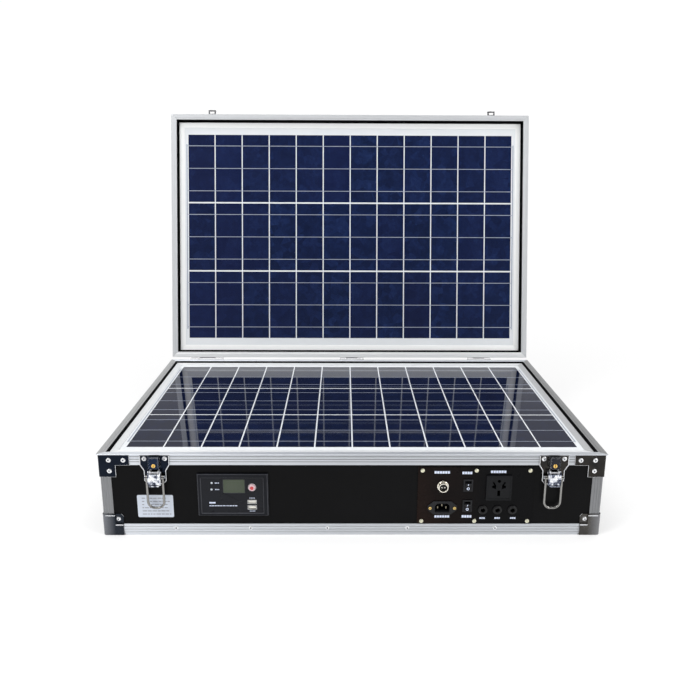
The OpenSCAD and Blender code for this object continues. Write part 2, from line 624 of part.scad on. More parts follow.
// ---------- inside the base ----------
module battery_packs() {
  color([.16, .3, .42]) for (y = [-186, 14]) translate([-330, y, floor_t]) difference() {
    union() {
      cube([240, 172, 82]);
      for (k = [40, 132]) translate([222, k - 8, 82]) cube([14, 16, 5]);
    }
    for (k = [40, 132]) translate([229, k, 84]) cylinder(h = 6, r = 2.5);
    for (k = [60, 120, 180]) translate([k - 1, -1, 12]) cube([2, 3, 58]);
    for (k = [60, 120, 180]) translate([k - 1, 170, 12]) cube([2, 3, 58]);
  }
}
module inverter_case() {
  color([.32, .33, .35]) translate([20, -84, floor_t]) difference() {
    cube([300, 168, 74]);
    translate([30, 4, 4]) cube([262, 160, 60]);
    for (i = [0:16]) translate([36 + i * 15, 8, 68]) cube([7, 152, 8]);
    translate([-1, 84, 35]) rotate([0, 90, 0]) cylinder(h = 40, r = 28);
    for (y = [30, 138]) translate([-1, y, 20]) rotate([0, 90, 0]) cylinder(h = 20, r = 4.2);
    for (k = [0:5]) translate([290, 30 + k * 20, 20]) cube([12, 6, 36]);
  }
  // fan bearing post on its four-legged spider
  color([.32, .33, .35]) translate([20, 0, floor_t + 35]) {
    difference() {
      union() {
        translate([24, 0, 0]) rotate([0, 90, 0]) cylinder(h = 5, r = 9);
        for (a = [45:90:315]) rotate([a, 0, 0]) translate([25, -2, 6]) cube([3, 4, 24]);
        translate([11, 0, 0]) rotate([0, 90, 0]) cylinder(h = 14, r = 2.5);
      }
    }
  }
}
module inverter_fan_rotor() {
  color([.1, .1, .1]) translate([20, 0, floor_t + 35]) difference() {
    union() {
      translate([8, 0, 0]) rotate([0, 90, 0]) cylinder(h = 15, r = 10);
      for (a = [0:360 / 7:359]) rotate([a, 0, 0]) translate([15.5, 0, 8]) rotate([0, 0, 38])
        translate([-7, -.8, 0]) cube([14, 1.6, 18.2]);
    }
    translate([10, 0, 0]) rotate([0, 90, 0]) cylinder(h = 20, r = 2.56);
  }
}
module power_cables() {
  z = floor_t + 87 + 3.6;
  for (k = [0, 1]) color(k ? [.6, .06, .06] : [.04, .04, .04]) {
    wire([[-99, k ? 54 : -54, z], [-50, k ? 54 : -54, z], [-50, k ? 54 : -54, floor_t + 20],
      [26, k ? 54 : -54, floor_t + 20]], 3.6);
  }
}
module trolley_channels() {
  color([.6, .61, .63]) for (s = [-1, 1]) translate([0, s * tr_y, tr_z]) difference() {
    translate([0, -13, -9]) cube([369.9, 26, 18]);
    translate([-1, -11.5, -7.5]) cube([380, 23, 15]);
  }
  color([.6, .61, .63]) for (s = [-1, 1], x = [20, 330])
    translate([x, s * tr_y - 13, floor_t]) cube([14, 26, tr_z - 9 - floor_t]);
}
module trolley_mid_tubes() {
  color([.75, .76, .78]) for (s = [-1, 1]) translate([6, s * tr_y, tr_z]) difference() {
    translate([0, -11.1, -7.1]) cube([372, 22.2, 14.2]);
    translate([-1, -9.8, -5.8]) cube([380, 19.6, 11.6]);
  }
}
module trolley_grip() {
  for (s = [-1, 1]) color([.8, .81, .83]) translate([10, s * tr_y, tr_z]) difference() {
    translate([0, -9.4, -5.4]) cube([382, 18.8, 10.8]);
    translate([-1, -8.2, -4.2]) cube([380, 16.4, 8.4]);
  }
  color([.08, .08, .08]) difference() {
    union() {
      translate([392, -124, tr_z - 11]) cube([15, 248, 22]);
      translate([407, -124, tr_z - 6]) cube([5, 248, 12]);
      for (s = [-1, 1]) translate([407, 124, tr_z + s * 6]) rotate([90, 0, 0]) cylinder(h = 248, r = 5);
    }
    // pocket of the release button
    translate([402, -22, tr_z - 5]) cube([20, 44, 10]);
  }
}
module trolley_release_button() {
  color([.25, .25, .27]) translate([406, -21.6, tr_z - 4.6]) cube([9.4, 43.2, 9.2]);
}
module trolley_cup() {
  color([.07, .07, .07]) difference() {
    union() {
      translate([370, -140, 24]) cube([px - 370, 280, 56]);
      translate([px, -146, 20.4]) cube([1.4, 292, 64]);
    }
    translate([373, -137, 27]) cube([60, 274, 50]);
    for (s = [-1, 1]) translate([360, s * tr_y - 11.5, tr_z - 7.5]) cube([20, 23, 15]);
  }
}
module wheel_housings() {
  color([.07, .07, .07]) for (s = [-1, 1]) translate([0, s * wheel_y, 0]) difference() {
    union() {
      translate([-px, -16.5, .2]) cube([43.5, 33, 54.3]);
      translate([-px - 1.5, -24, rail_h + .1]) cube([1.5, 48, 45]);
    }
    translate([-px - 3, -14, -1]) cube([44, 28, 53.2]);
    translate([wheel_x, 30, wheel_z]) rotate([90, 0, 0]) cylinder(h = 60, r = 3.06);
  }
}
module wheel_axles() {
  color([.7, .7, .72]) for (s = [-1, 1]) translate([wheel_x, s * wheel_y + 16.5, wheel_z])
    rotate([90, 0, 0]) cylinder(h = 33, r = 3);
}
module wheel(s) {
  color([.08, .08, .08]) translate([wheel_x, s * wheel_y, wheel_z]) rotate([90, 0, 0])
    rotate_extrude() polygon([[3.07, -11.5], [6.5, -11.5], [6.5, -9], [17, -8], [17, -11], [22, -11], [wheel_r, -8.5],
      [wheel_r, 8.5], [22, 11], [17, 11], [17, 8], [6.5, 9], [6.5, 11.5], [3.07, 11.5]]);
}
module front_wheel() { wheel(-1); }
module rear_wheel() { wheel(1); }

// ---------- lid, drawn shut and then swung open ----------
module lid_shell() {
  zt = lid_t - floor_t;
  color([.07, .07, .08]) open_lid() translate([0, 0, lid_z0]) {
    // outer panel with rebated edges
    translate([-px, -py, zt]) cube([2 * px, 2 * py, floor_t - ext_t]);
    translate([-fx + rail_leg + .1, -fy + rail_leg + .1, lid_t - 2])
      cube([2 * (fx - rail_leg - .1), 2 * (fy - rail_leg - .1), 2]);
    // four walls
    difference() {
      translate([-px, -py, rim_t]) cube([2 * px, 2 * py, zt - rim_t + .5]);
      translate([-qx, -qy, rim_t - 1]) cube([2 * qx, 2 * qy, zt - rim_t + 1]);
    }
  }
}
module lid_rim() {
  color([.8, .81, .83]) open_lid() translate([0, 0, lid_z0]) mirror([0, 0, 1]) rim();
}
module lid_edge_rails() { color([.8, .81, .83]) open_lid() to_lid() rails(); }
module lid_corner_protectors() { color([.75, .75, .77]) open_lid() to_lid() protector_lid(); }
module protector_lid() { corners() protector(7.4); }
module lid_rivets() {
  color([.82, .82, .84]) open_lid() {
    to_lid() {
      for (x = [-292, -168.5, -41.5, 91.5, 237.5]) {
        at_front(x, 11, fy) rivet(2.9);
        at_back(x, 11, fy) rivet(2.9);
      }
      for (s = [-1, 1], y = [-128, 0, 128]) at_side(s, y, 11, fx) rivet(2.9);
      protector_rivets(23.6, 2.7);
    }
    for (h = hinges, d = [-.34, .34]) at_back(h[0] + d * h[1], hinge_z + 20, fy + 1.5) rivet(2.6);
    for (s = [-1, 1], d = [-17, 17]) at_latch(s) at_front(d, lid_z0 + 9, fy + 1.2) rivet(3);
  }
}
module lid_pv_frame() {
  color([.85, .86, .87]) open_lid() translate([0, 0, lid_z0 + lid_pv_drop]) mirror([0, 0, 1]) pv_frame();
}
module lid_pv_laminate() {
  color([.09, .14, .32]) open_lid() translate([0, 0, lid_z0 + lid_pv_drop]) mirror([0, 0, 1]) pv_laminate();
}
module lid_pv_junction_box() {
  color([.06, .06, .06]) open_lid() translate([0, 0, lid_z0 + lid_pv_drop]) mirror([0, 0, 1]) junction_box();
}
module latch_keepers() {
  z0 = lid_z0 + rim_t + .1;
  color([.78, .78, .8]) open_lid() for (s = [-1, 1]) at_latch(s) {
    translate([-23, -fy - 1.2, z0]) cube([46, 1.2, 15.5]);
    // pressed hook with a window behind its lip
    difference() {
      translate([-8.5, -fy - 14.6, H + 8.6]) cube([17, 14.6, 1.8]);
      translate([-5.2, -fy - 11.2, H + 8]) cube([10.4, 4.6, 3]);
    }
    translate([-8.5, -fy - 14.6, H + 8.6]) cube([17, 1.6, 8]);
  }
}

base_bottom_panel();
base_front_panel();
base_side_panels();
base_top_rim();
base_bottom_rails();
base_corner_posts();
base_rivets();
base_corner_plates();
base_corner_protectors();
base_panel_battens();
base_pv_frame();
base_pv_laminate();
base_pv_junction_box();
hinge_base_leaves();
hinge_pins();
latch_plates();
controller_housing();
controller_lcd();
usb_sockets();
control_plate();
panel_screws();
aviation_socket_shell();
aviation_socket_core();
iec_inlet_body();
iec_inlet_pins();
rocker_housings();
outlet_socket();
dc_sockets();
battery_packs();
inverter_case();
power_cables();
trolley_channels();
trolley_cup();
wheel_housings();
wheel_axles();
left_lock_cylinder();
right_lock_cylinder();
left_latch_lever();
right_latch_lever();
left_latch_bail();
right_latch_bail();
controller_button();
upper_rocker();
lower_rocker();
inverter_fan_rotor();
trolley_mid_tubes();
trolley_grip();
trolley_release_button();
front_wheel();
rear_wheel();
lid_shell();
lid_rim();
lid_edge_rails();
lid_corner_protectors();
lid_rivets();
lid_pv_frame();
lid_pv_laminate();
lid_pv_junction_box();
hinge_lid_leaves();
latch_keepers();
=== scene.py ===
import json
import math
import random

import bmesh
import bpy
from mathutils import Matrix, Vector


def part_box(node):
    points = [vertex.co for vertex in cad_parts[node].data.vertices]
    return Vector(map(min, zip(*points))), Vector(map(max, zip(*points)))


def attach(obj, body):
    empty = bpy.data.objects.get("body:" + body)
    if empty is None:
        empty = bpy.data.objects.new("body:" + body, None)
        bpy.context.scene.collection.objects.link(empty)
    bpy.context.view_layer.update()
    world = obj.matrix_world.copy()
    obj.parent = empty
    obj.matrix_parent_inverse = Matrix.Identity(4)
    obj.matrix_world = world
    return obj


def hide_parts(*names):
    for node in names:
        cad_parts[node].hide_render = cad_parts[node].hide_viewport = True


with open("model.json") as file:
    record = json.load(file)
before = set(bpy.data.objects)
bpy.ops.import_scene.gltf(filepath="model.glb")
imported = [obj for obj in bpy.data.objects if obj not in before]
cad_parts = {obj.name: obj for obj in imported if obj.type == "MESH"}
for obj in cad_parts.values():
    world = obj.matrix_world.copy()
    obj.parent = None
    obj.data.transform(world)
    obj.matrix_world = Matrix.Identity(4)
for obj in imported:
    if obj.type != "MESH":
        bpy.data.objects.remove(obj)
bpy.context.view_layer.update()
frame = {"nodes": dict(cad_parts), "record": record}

# Solar suitcase power station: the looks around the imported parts.
# Lengths below are written in millimetres and scaled once by MM.
MM = 0.001
NODES = frame["nodes"]
BODY = {n: b for b, ns in frame["record"]["behaviour"]["bodies"].items() for n in ns}

HX, HY, FX, FY, PX, PY = 414.0, 281.0, 411.0, 278.0, 409.5, 276.5
H = round(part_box("base_top_rim")[1].z / MM, 2)
JOINTS = {j["name"]: j for j in frame["record"]["behaviour"]["joints"]}
HINGE_Y, HINGE_Z = (JOINTS["lid_hinge"]["pos_m"][k] / MM for k in (1, 2))
LID_OPEN, LID_Z0 = 103.0, H + .5
LATCH_X = {s: JOINTS[s + "_lever_pivot"]["pos_m"][0] / MM for s in ("left", "right")}
LEVER_Z = JOINTS["left_lever_pivot"]["pos_m"][2] / MM
OPEN = (Matrix.Translation((0, HINGE_Y * MM, HINGE_Z * MM)) @ Matrix.Rotation(math.radians(-LID_OPEN), 4, "X")
        @ Matrix.Translation((0, -HINGE_Y * MM, -HINGE_Z * MM)))
SHUT = OPEN.inverted()


# ------------------------------------------------------------------ camera, floor, light
cam_data = bpy.data.cameras.new("camera")
cam = bpy.data.objects.new("camera", cam_data)
bpy.context.scene.collection.objects.link(cam)
cam_data.sensor_width = 36.0
cam_data.lens = 38.954
cam_data.clip_start, cam_data.clip_end = 0.05, 60
pitch, yaw, roll = math.radians(15.099), math.radians(0.528), math.radians(0.241)
fwd = Vector((math.sin(yaw) * math.cos(pitch), math.cos(yaw) * math.cos(pitch), -math.sin(pitch)))
rt = Vector((math.cos(yaw), -math.sin(yaw), 0))
up = rt.cross(fwd)
r2 = math.cos(roll) * rt + math.sin(roll) * up
u2 = -math.sin(roll) * rt + math.cos(roll) * up
rot = Matrix((r2, u2, -fwd)).transposed()
cam.matrix_world = Matrix.Translation((-0.0155, -1.41689, 0.62562)) @ rot.to_4x4()
bpy.context.scene.camera = cam
bpy.context.scene.view_settings.view_transform = "Standard"
bpy.context.scene.view_settings.look = "None"


# ------------------------------------------------------------------ node helpers
class Mat:
    """A small builder for one procedural material."""

    def __init__(self, name, color=(.8, .8, .8), metallic=0.0, rough=.5, spec=.5, coat=0.0, coat_rough=.03, aniso=0.0):
        self.m = bpy.data.materials.new(name)
        self.m.use_nodes = True
        self.t = self.m.node_tree
        self.b = next(n for n in self.t.nodes if n.type == "BSDF_PRINCIPLED")
        i = self.b.inputs
        i["Base Color"].default_value = (*color, 1)
        i["Metallic"].default_value = metallic
        i["Roughness"].default_value = rough
        i["Specular IOR Level"].default_value = spec
        i["Coat Weight"].default_value = coat
        i["Coat Roughness"].default_value = coat_rough
        i["Anisotropic"].default_value = aniso
        self.m.diffuse_color = (*color, 1)

    def node(self, kind, **props):
        n = self.t.nodes.new(kind)
        for k, v in props.items():
            setattr(n, k, v)
        return n

    def link(self, a, b):
        self.t.links.new(a, b)

    def coords(self, scale=(1, 1, 1), lid=False):
        """Object coordinates in metres; for the lid, turned back to the shut position first."""
        c = self.node("ShaderNodeTexCoord").outputs["Object"]
        if lid:
            r = self.node("ShaderNodeMapping")
            r.inputs["Rotation"].default_value = (math.radians(LID_OPEN), 0, 0)
            self.link(c, r.inputs["Vector"])
            c = r.outputs["Vector"]
        s = self.node("ShaderNodeMapping")
        s.inputs["Scale"].default_value = scale
        self.link(c, s.inputs["Vector"])
        return s.outputs["Vector"]

    def attr(self, name):
        return self.node("ShaderNodeAttribute", attribute_name=name).outputs["Vector"]

    def noise(self, vec, scale=5.0, detail=4.0, rough=.55):
        n = self.node("ShaderNodeTexNoise")
        n.inputs["Scale"].default_value = scale
        n.inputs["Detail"].default_value = detail
        n.inputs["Roughness"].default_value = rough
        self.link(vec, n.inputs["Vector"])
        return n.outputs["Fac"]

    def voronoi(self, vec, scale, feature="F1", out="Color"):
        n = self.node("ShaderNodeTexVoronoi", feature=feature)
        n.inputs["Scale"].default_value = scale
        self.link(vec, n.inputs["Vector"])
        return n.outputs[out]

    def wave(self, vec, scale, direction="X"):
        n = self.node("ShaderNodeTexWave", wave_type="BANDS", bands_direction=direction)
        n.inputs["Scale"].default_value = scale
        n.inputs["Distortion"].default_value = 0
        self.link(vec, n.inputs["Vector"])
        return n.outputs["Fac"]

    def math(self, op, a, b=0.0, clamp=False):
        n = self.node("ShaderNodeMath", operation=op, use_clamp=clamp)
        for k, v in enumerate((a, b)):
            if isinstance(v, (int, float)):
                n.inputs[k].default_value = v
            else:
                self.link(v, n.inputs[k])
        return n.outputs[0]

    def range(self, v, lo, hi, to_lo, to_hi):
        n = self.node("ShaderNodeMapRange")
        for k, x in zip(("From Min", "From Max", "To Min", "To Max"), (lo, hi, to_lo, to_hi)):
            n.inputs[k].default_value = x
        self.link(v, n.inputs["Value"])
        return n.outputs["Result"]

    def ramp(self, fac, stops):
        n = self.node("ShaderNodeValToRGB")
        e = n.color_ramp.elements
        while len(e) > 1:
            e.remove(e[-1])
        e[0].position, e[0].color = stops[0][0], (*stops[0][1], 1)
        for p, c in stops[1:]:
            x = e.new(p)
            x.color = (*c, 1)
        self.link(fac, n.inputs["Fac"])
        return n.outputs["Color"]

    def mix(self, fac, a, b, blend="MIX"):
        n = self.node("ShaderNodeMix", data_type="RGBA", blend_type=blend)
        for k, v in (("Factor", fac), ("A", a), ("B", b)):
            s = [x for x in n.inputs if x.name == k and (x.type == "RGBA" or k == "Factor" and x.type == "VALUE")][0]
            if isinstance(v, (int, float)):
                s.default_value = v
            elif isinstance(v, tuple):
                s.default_value = (*v, 1)
            else:
                self.link(v, s)
        return [x for x in n.outputs if x.type == "RGBA"][0]

    def color(self, v):
        self.link(v, self.b.inputs["Base Color"])
        return self

    def rough(self, v):
        self.link(v, self.b.inputs["Roughness"])
        return self

    def bump(self, v, strength=.3, dist=.0001):
        n = self.node("ShaderNodeBump")
        n.inputs["Strength"].default_value = strength
        n.inputs["Distance"].default_value = dist
        self.link(v, n.inputs["Height"])
        self.link(n.outputs["Normal"], self.b.inputs["Normal"])
        return self


def brushed(name, along, tone=(.78, .79, .81), rough=.34, lid=False, streak=1.0, metallic=1.0):
    """Drawn or brushed metal with streaks along one axis, light wear and smudges."""
    m = Mat(name, tone, metallic, rough)
    sc = {"x": (3, 900, 900), "y": (900, 3, 900), "z": (900, 900, 3)}[along]
    s = m.noise(m.coords(sc, lid), 1.0, 5, .6)
    s2 = m.noise(m.coords(tuple(k * .22 for k in sc), lid), 1.0, 3, .5)
    smudge = m.noise(m.coords((1, 1, 1), lid), 9.0, 5, .6)
    k = m.math("ADD", m.math("MULTIPLY", s, .6), m.math("MULTIPLY", s2, .4))
    d = tuple(c * (1 - .16 * streak) for c in tone)
    l = tuple(min(1, c * (1 + .07 * streak)) for c in tone)
    c = m.ramp(k, [(.25, d), (.75, l)])
    c = m.mix(m.range(smudge, .35, .75, 0, .12), c, tuple(x * .72 for x in tone))
    # painted highlight: the base's X members get lighter towards the left of the case
    if along == "x" and not lid:
        s = m.node("ShaderNodeSeparateXYZ")
        m.link(m.coords(), s.inputs[0])
        c = m.mix(m.range(s.outputs[0], -.36, -.02, .55, 0), c, tuple(min(1, x * 1.5) for x in tone))
    # painted shade: the base's Y members get darker towards the right of the case
    elif along == "y" and not lid:
        s = m.node("ShaderNodeSeparateXYZ")
        m.link(m.coords(), s.inputs[0])
        c = m.mix(m.range(s.outputs[0], .1, .38, 0, .75), c, tuple(x * .5 for x in tone))
    elif along == "x":
        # the lid's member at the hinge catches more light than the rest
        s = m.node("ShaderNodeSeparateXYZ")
        m.link(m.coords((1, 1, 1), lid), s.inputs[0])
        c = m.mix(m.range(s.outputs[1], -.30, -.22, 0, .5), c, tuple(min(1, x * 1.6) for x in tone))
    m.color(c).rough(m.math("ADD", m.range(k, .2, .8, rough - .06, rough + .1), m.range(smudge, .3, .8, -.03, .06)))
    m.bump(k, .25 * streak, .00006)
    return m.m


def plated_split(name, left, right, rough=.2, lid=False, rim_highlight=0.0):
    """Plated steel painted dark, a painted reflection of a dark surround, which warms from the left of the case to the
    right.
    """
    m = Mat(name, left, 1.0, rough)
    c = m.coords((1, 1, 1), lid)
    a = m.noise(c, 45, 4, .6)
    b = m.noise(c, 260, 3, .5)
    s = m.node("ShaderNodeSeparateXYZ")
    m.link(c, s.inputs[0])
    k = m.mix(m.range(s.outputs[0], -.2, .2, 0, 1), left, right)
    k = m.mix(m.range(a, .35, .75, 0, .55), k, tuple(x * .45 for x in left))
    if rim_highlight:
        # painted highlight: brighter towards the rounded upright edge
        out = m.math("ABSOLUTE", s.outputs[0])
        k = m.mix(m.range(out, .392, .411, 0, rim_highlight), k, (.42, .43, .46))
    m.color(k).rough(m.math("ADD", m.range(a, .3, .75, rough - .06, rough + .10), m.range(b, .5, .8, 0, .06)))
    m.bump(a, .06, .0002)
    return m.m


def plated(name, tone, rough=.14, cloud=.10, lid=False, metallic=1.0):
    """Plated steel: almost a mirror, with faint cloudiness, fine scratches and fingerprints."""
    m = Mat(name, tone, metallic, rough)
    c = m.coords((1, 1, 1), lid)
    a = m.noise(c, 60, 4, .6)
    b = m.noise(m.coords((40, 700, 120), lid), 1.0, 3, .6)
    k = m.mix(m.range(a, .35, .8, 0, cloud * 2.2), tone, tuple(x * .55 for x in tone))
    m.color(k)
    m.rough(m.math("ADD", m.range(a, .3, .75, rough - .05, rough + .09), m.range(b, .55, .8, 0, .08)))
    m.bump(a, .05, .0002)
    return m.m


def plastic(name, tone, rough=.42, grain=900, depth=.00005, strength=.35, coat=0.0, lid=False, spec=.5, spread=.25):
    """Moulded plastic: a fine eroded texture, with small changes of tone and gloss."""
    m = Mat(name, tone, 0, rough, spec, coat, .12)
    c = m.coords((1, 1, 1), lid)
    g = m.noise(c, grain, 3, .6)
    w = m.noise(c, 14, 4, .55)
    k = m.mix(m.range(w, .3, .75, 0, 1), tuple(x * (1 - spread) for x in tone), tuple(x * (1 + spread) for x in tone))
    m.color(k).rough(m.range(w, .3, .75, rough - .04, rough + .07)).bump(g, strength, depth)
    return m.m


# ------------------------------------------------------------------ materials
MATS = {}
for lid in (False, True):
    tag = "_lid" if lid else ""
    # painted light and shade: on the base one extrusion is split into lit and shaded copies by member direction, X
    # members lightest, Y members darker, upright posts darkest; the lid's members share one lighter tone, and the
    # base's PV frame is a darker, painted-shade copy of the lid's
    tones = {"x": (.60, .625, .665), "y": (.50, .505, .51), "z": (.245, .25, .26)}
    for ax in "xyz":
        MATS["alu_" + ax + tag] = brushed("extrusion_" + ax + tag, ax, (.62, .635, .655) if lid else tones[ax], .36, lid, 1.3, .20 if lid else .55)
        MATS["pvf_" + ax + tag] = brushed("pv_frame_" + ax + tag, ax, (.95, .96, .96) if lid else (.76, .775, .79), .40, lid, .6, .08 if lid else .30)
    # painted shade: the sloped faces of the V-grooves take darker copies of the extrusion, standing for shade in the
    # grooves
    MATS["flute" + tag] = brushed("extrusion_flute" + tag, "x", (.22, .225, .235), .5, lid, .6, .4)
    MATS["flute_soft" + tag] = brushed("extrusion_flute_soft" + tag, "x", (.40, .41, .42), .5, lid, .6, .4)
    # painted shade: black on the rim's inner flange stands for shade in the groove beside the panel
    MATS["groove_shade" + tag] = plastic("rim_lining" + tag, (.006, .006, .007), .6, lid=lid, spec=.1)
    # black laminate sheet: very fine pebble grain with a faint vertical weave of the press plate
    m = Mat("laminate_black" + tag, (.005, .005, .006), 0, .42, .10)
    c = m.coords((1, 1, 1), lid)
    peb = m.voronoi(c, 1500, "F1", "Distance")
    lines = m.noise(m.coords((600, 14, 14), lid), 1.0, 3, .6)
    wide = m.noise(c, 6, 4, .6)
    m.color(m.mix(m.range(wide, .3, .75, 0, 1), (.0014, .0014, .0018), (.0030, .0030, .0036)))
    m.rough(m.math("ADD", m.range(lines, .3, .7, .36, .48), m.range(wide, .3, .75, -.03, .05)))
    m.bump(m.math("ADD", m.math("MULTIPLY", peb, .7), m.math("MULTIPLY", lines, .5)), .22, .00008)
    MATS["laminate" + tag] = m.m
    # painted reflection: the corner plates and protectors are painted dark, warming from left to right
    MATS["plate_dark" + tag] = plated_split("plated_dark" + tag, (.012, .016, .026), (.040, .037, .033), .20, lid)
    MATS["protector" + tag] = plated_split("plated_protector" + tag, (.030, .036, .046), (.090, .085, .078), .26, lid, .42)
    # painted highlight: a bright copy of the plated steel for bevels, raised borders and sloped faces
    MATS["plate_edge_highlight" + tag] = plated("plated_edge_highlight" + tag, (.80, .81, .84), .22, .06, lid, .35)
    MATS["rivet" + tag] = plated("rivet_head" + tag, (.93, .94, .96), .24, .05, lid, .40)
    MATS["mandrel" + tag] = plated("rivet_core_shade" + tag, (.035, .045, .085), .38, .2, lid)
    MATS["junction" + tag] = plastic("junction_box" + tag, (.022, .022, .024), .48, lid=lid)
# painted reflection: the lock body is painted dark in the same way
MATS["lock_body"] = plated_split("lock_body", (.020, .030, .058), (.035, .036, .042), .16)
# bright lever with a painted reflection: light and dark patches in its colour stand for what its pressed shape mirrors
m = Mat("latch_lever", (.6, .6, .62), .85, .14)
c = m.coords((1, 1, 1))
lever_reflection = m.noise(m.coords((1, 1, .8)), 170, 2, .6)
m.color(m.ramp(lever_reflection, [(.36, (.020, .026, .048)), (.46, (.20, .22, .28)), (.54, (.62, .65, .72)), (.62, (.95, .96, .98))]))
m.rough(m.range(m.noise(c, 60, 3, .5), .3, .75, .10, .22)).bump(lever_reflection, .5, .0012)
MATS["lever"] = m.m
MATS["keeper"] = plated("keeper_plate", (.16, .16, .165), .22, .10, True, .7)
MATS["wire"] = brushed("latch_wire", "z", (.30, .295, .285), .22, streak=.7)
MATS["steel"] = brushed("pin_steel", "x", (.22, .22, .23), .28)
MATS["hinge"] = plated("hinge_plate", (.58, .58, .59), .22, .22, False, .6)
MATS["brass"] = plated("key_brass", (.86, .56, .16), .20, .10)
MATS["nickel"] = plated("socket_nickel", (.88, .84, .74), .14, .06)
MATS["pin_bright"] = plated("contact_bright", (.95, .93, .86), .14, .03)
# painted shade: the inlet's contacts are darkened for the shade deep in the inlet
MATS["pin_dim"] = plated("contact_dim", (.30, .27, .20), .30, .10)
MATS["screw"] = plated("screw_cream", (.86, .84, .66), .30, .08)
MATS["screw_brass"] = plated("screw_brass", (.62, .45, .17), .26, .12)
MATS["abs"] = plastic("moulded_black", (.020, .020, .023), .40)
MATS["abs_soft"] = plastic("moulded_charcoal", (.012, .0125, .015), .44, spec=.25)
MATS["bezel"] = plastic("controller_bezel", (.010, .011, .015), .34, 1200, spec=.12)
# painted highlight: a lighter copy of the bezel plastic for its bevelled edge
MATS["bezel_edge_highlight"] = plastic("controller_bezel_edge", (.055, .058, .070), .30, 1200, spec=.4)
MATS["face"] = plastic("controller_face", (.006, .007, .011), .26, 1600, .00002, .2, .0, spec=.2)
MATS["outlet"] = plastic("outlet_plastic", (.007, .0075, .009), .36, spec=.15)
MATS["slot"] = plastic("socket_slot", (.004, .004, .005), .6, spec=.1)
MATS["rocker"] = plastic("rocker_gloss", (.008, .008, .010), .26, 1500, .00002, .15, .0, spec=.2)
MATS["dc"] = plastic("dc_socket", (.010, .010, .011), .34, spec=.25)
# painted shade: the jacks' centre pins are darkened for the shade deep in the jacks
MATS["dc_pin"] = plated("dc_pin", (.10, .10, .10), .35)
MATS["grip"] = plastic("grip_rubbered", (.018, .018, .019), .55, 420, .00018, .6)
MATS["catch"] = plastic("catch_grey", (.10, .10, .105), .38)
m = Mat("button_red", (.62, .045, .05), 0, .28, .4, .3)
c = m.coords((1, 1, 1))
rad = m.node("ShaderNodeVectorMath", operation="DISTANCE")
flat = m.node("ShaderNodeVectorMath", operation="MULTIPLY")
flat.inputs[1].default_value = (1, 0, 1)
m.link(c, flat.inputs[0])
m.link(flat.outputs["Vector"], rad.inputs[0])
rad.inputs[1].default_value = (-.1642, 0, .086)
core = m.range(rad.outputs["Value"], .0028, .0034, 0, 1)
m.color(m.mix(core, m.mix(m.noise(c, 500, 2, .5), (.52, .030, .040), (.66, .055, .06)), (.72, .50, .54)))
MATS["red"] = m.m
MATS["tongue"] = plastic("usb_tongue", (.82, .80, .74), .40, 1600, .00002, .15, spread=.05)
MATS["ring_pale"] = plastic("button_ring", (.60, .56, .58), .35, 1600, .00002, .1, spread=.05)
MATS["usb_metal"] = brushed("usb_shell", "x", (.80, .80, .80), .26)
MATS["tube"] = brushed("handle_tube", "x", (.76, .77, .79), .28)
MATS["wood"] = plastic("batten_stained", (.020, .017, .015), .62, 260, .0003, .5)
MATS["battery"] = plastic("battery_case", (.045, .075, .13), .46)
MATS["terminal"] = plated("lead_terminal", (.55, .54, .50), .35, .2)
MATS["inverter"] = brushed("inverter_fins", "y", (.30, .31, .33), .42)
MATS["fan"] = plastic("fan_black", (.018, .018, .020), .38)
MATS["tyre"] = plastic("wheel_rubber", (.020, .020, .021), .68, 500, .00025, .6)
MATS["hub"] = plastic("wheel_hub", (.09, .09, .095), .42)
MATS["cable_red"] = plastic("cable_red", (.36, .02, .02), .42, 700, spread=.1)
MATS["cable_black"] = plastic("cable_black", (.015, .015, .016), .42, 700)

# control plate: black acrylic-faced sheet with a painted warm reflection towards its left side
m = Mat("control_plate", (.004, .004, .005), 0, .34, .08)
c = m.coords((1, 1, 1))
sx = m.node("ShaderNodeSeparateXYZ")
m.link(c, sx.inputs[0])
warm_reflection = m.math("MULTIPLY", m.range(sx.outputs[0], .105, .215, 1, 0), m.noise(c, 11, 3, .5), True)
m.color(m.mix(warm_reflection, (.0024, .0024, .0030), (.022, .0095, .0055)))
m.rough(m.range(m.noise(c, 30, 4, .6), .3, .75, .24, .36)).bump(m.noise(c, 1400, 2, .5), .15, .00004)
MATS["control_plate"] = m.m

# grey-green liquid crystal window under a clear cover
m = Mat("lcd_window", (.08, .10, .06), 0, .35, .2, .2, .04)
c = m.coords((1, 1, 1))
m.color(m.mix(m.noise(c, 40, 3, .5), (.048, .064, .040), (.068, .086, .056))).rough(m.range(m.noise(c, 70, 2, .5), .3, .7, .3, .42))
MATS["lcd"] = m.m
MATS["lcd_ink"] = plastic("lcd_segments", (.050, .065, .040), .40, 1500, .00001, .1, .6)

# silk-screened marks, label paper and its print
MATS["ink"] = plastic("print_pale_blue", (.72, .79, .97), .50, 1500, .00002, .1, spread=.06)
MATS["ink_grey"] = plastic("print_grey", (.30, .31, .36), .50, 1500, .00002, .1, spread=.06)
MATS["led"] = plastic("led_lens", (.55, .60, .66), .20, 1500, .00001, .1, .6, spread=.05)
m = Mat("label_paper", (.76, .81, .90), 0, .38, .5, .15, .2)
c = m.coords((1, 1, 1))
m.color(m.mix(m.noise(c, 25, 4, .6), (.60, .66, .77), (.72, .77, .86))).rough(m.range(m.noise(c, 60, 3, .5), .3, .7, .32, .46))
m.bump(m.noise(c, 240, 3, .6), .12, .00005)
MATS["paper"] = m.m

# photovoltaic laminate: white backsheet, polycrystalline cells, tinned ribbons, all under one glass
m = Mat("pv_backsheet", (.80, .82, .85), 0, .55, .1, 1.0, .025)
c = m.attr("pv_co")
m.color(m.mix(m.noise(c, 18, 4, .55), (.72, .75, .78), (.82, .84, .86)))
m.bump(m.noise(c, 900, 2, .5), .05, .00003)
MATS["pv_back"] = m.m
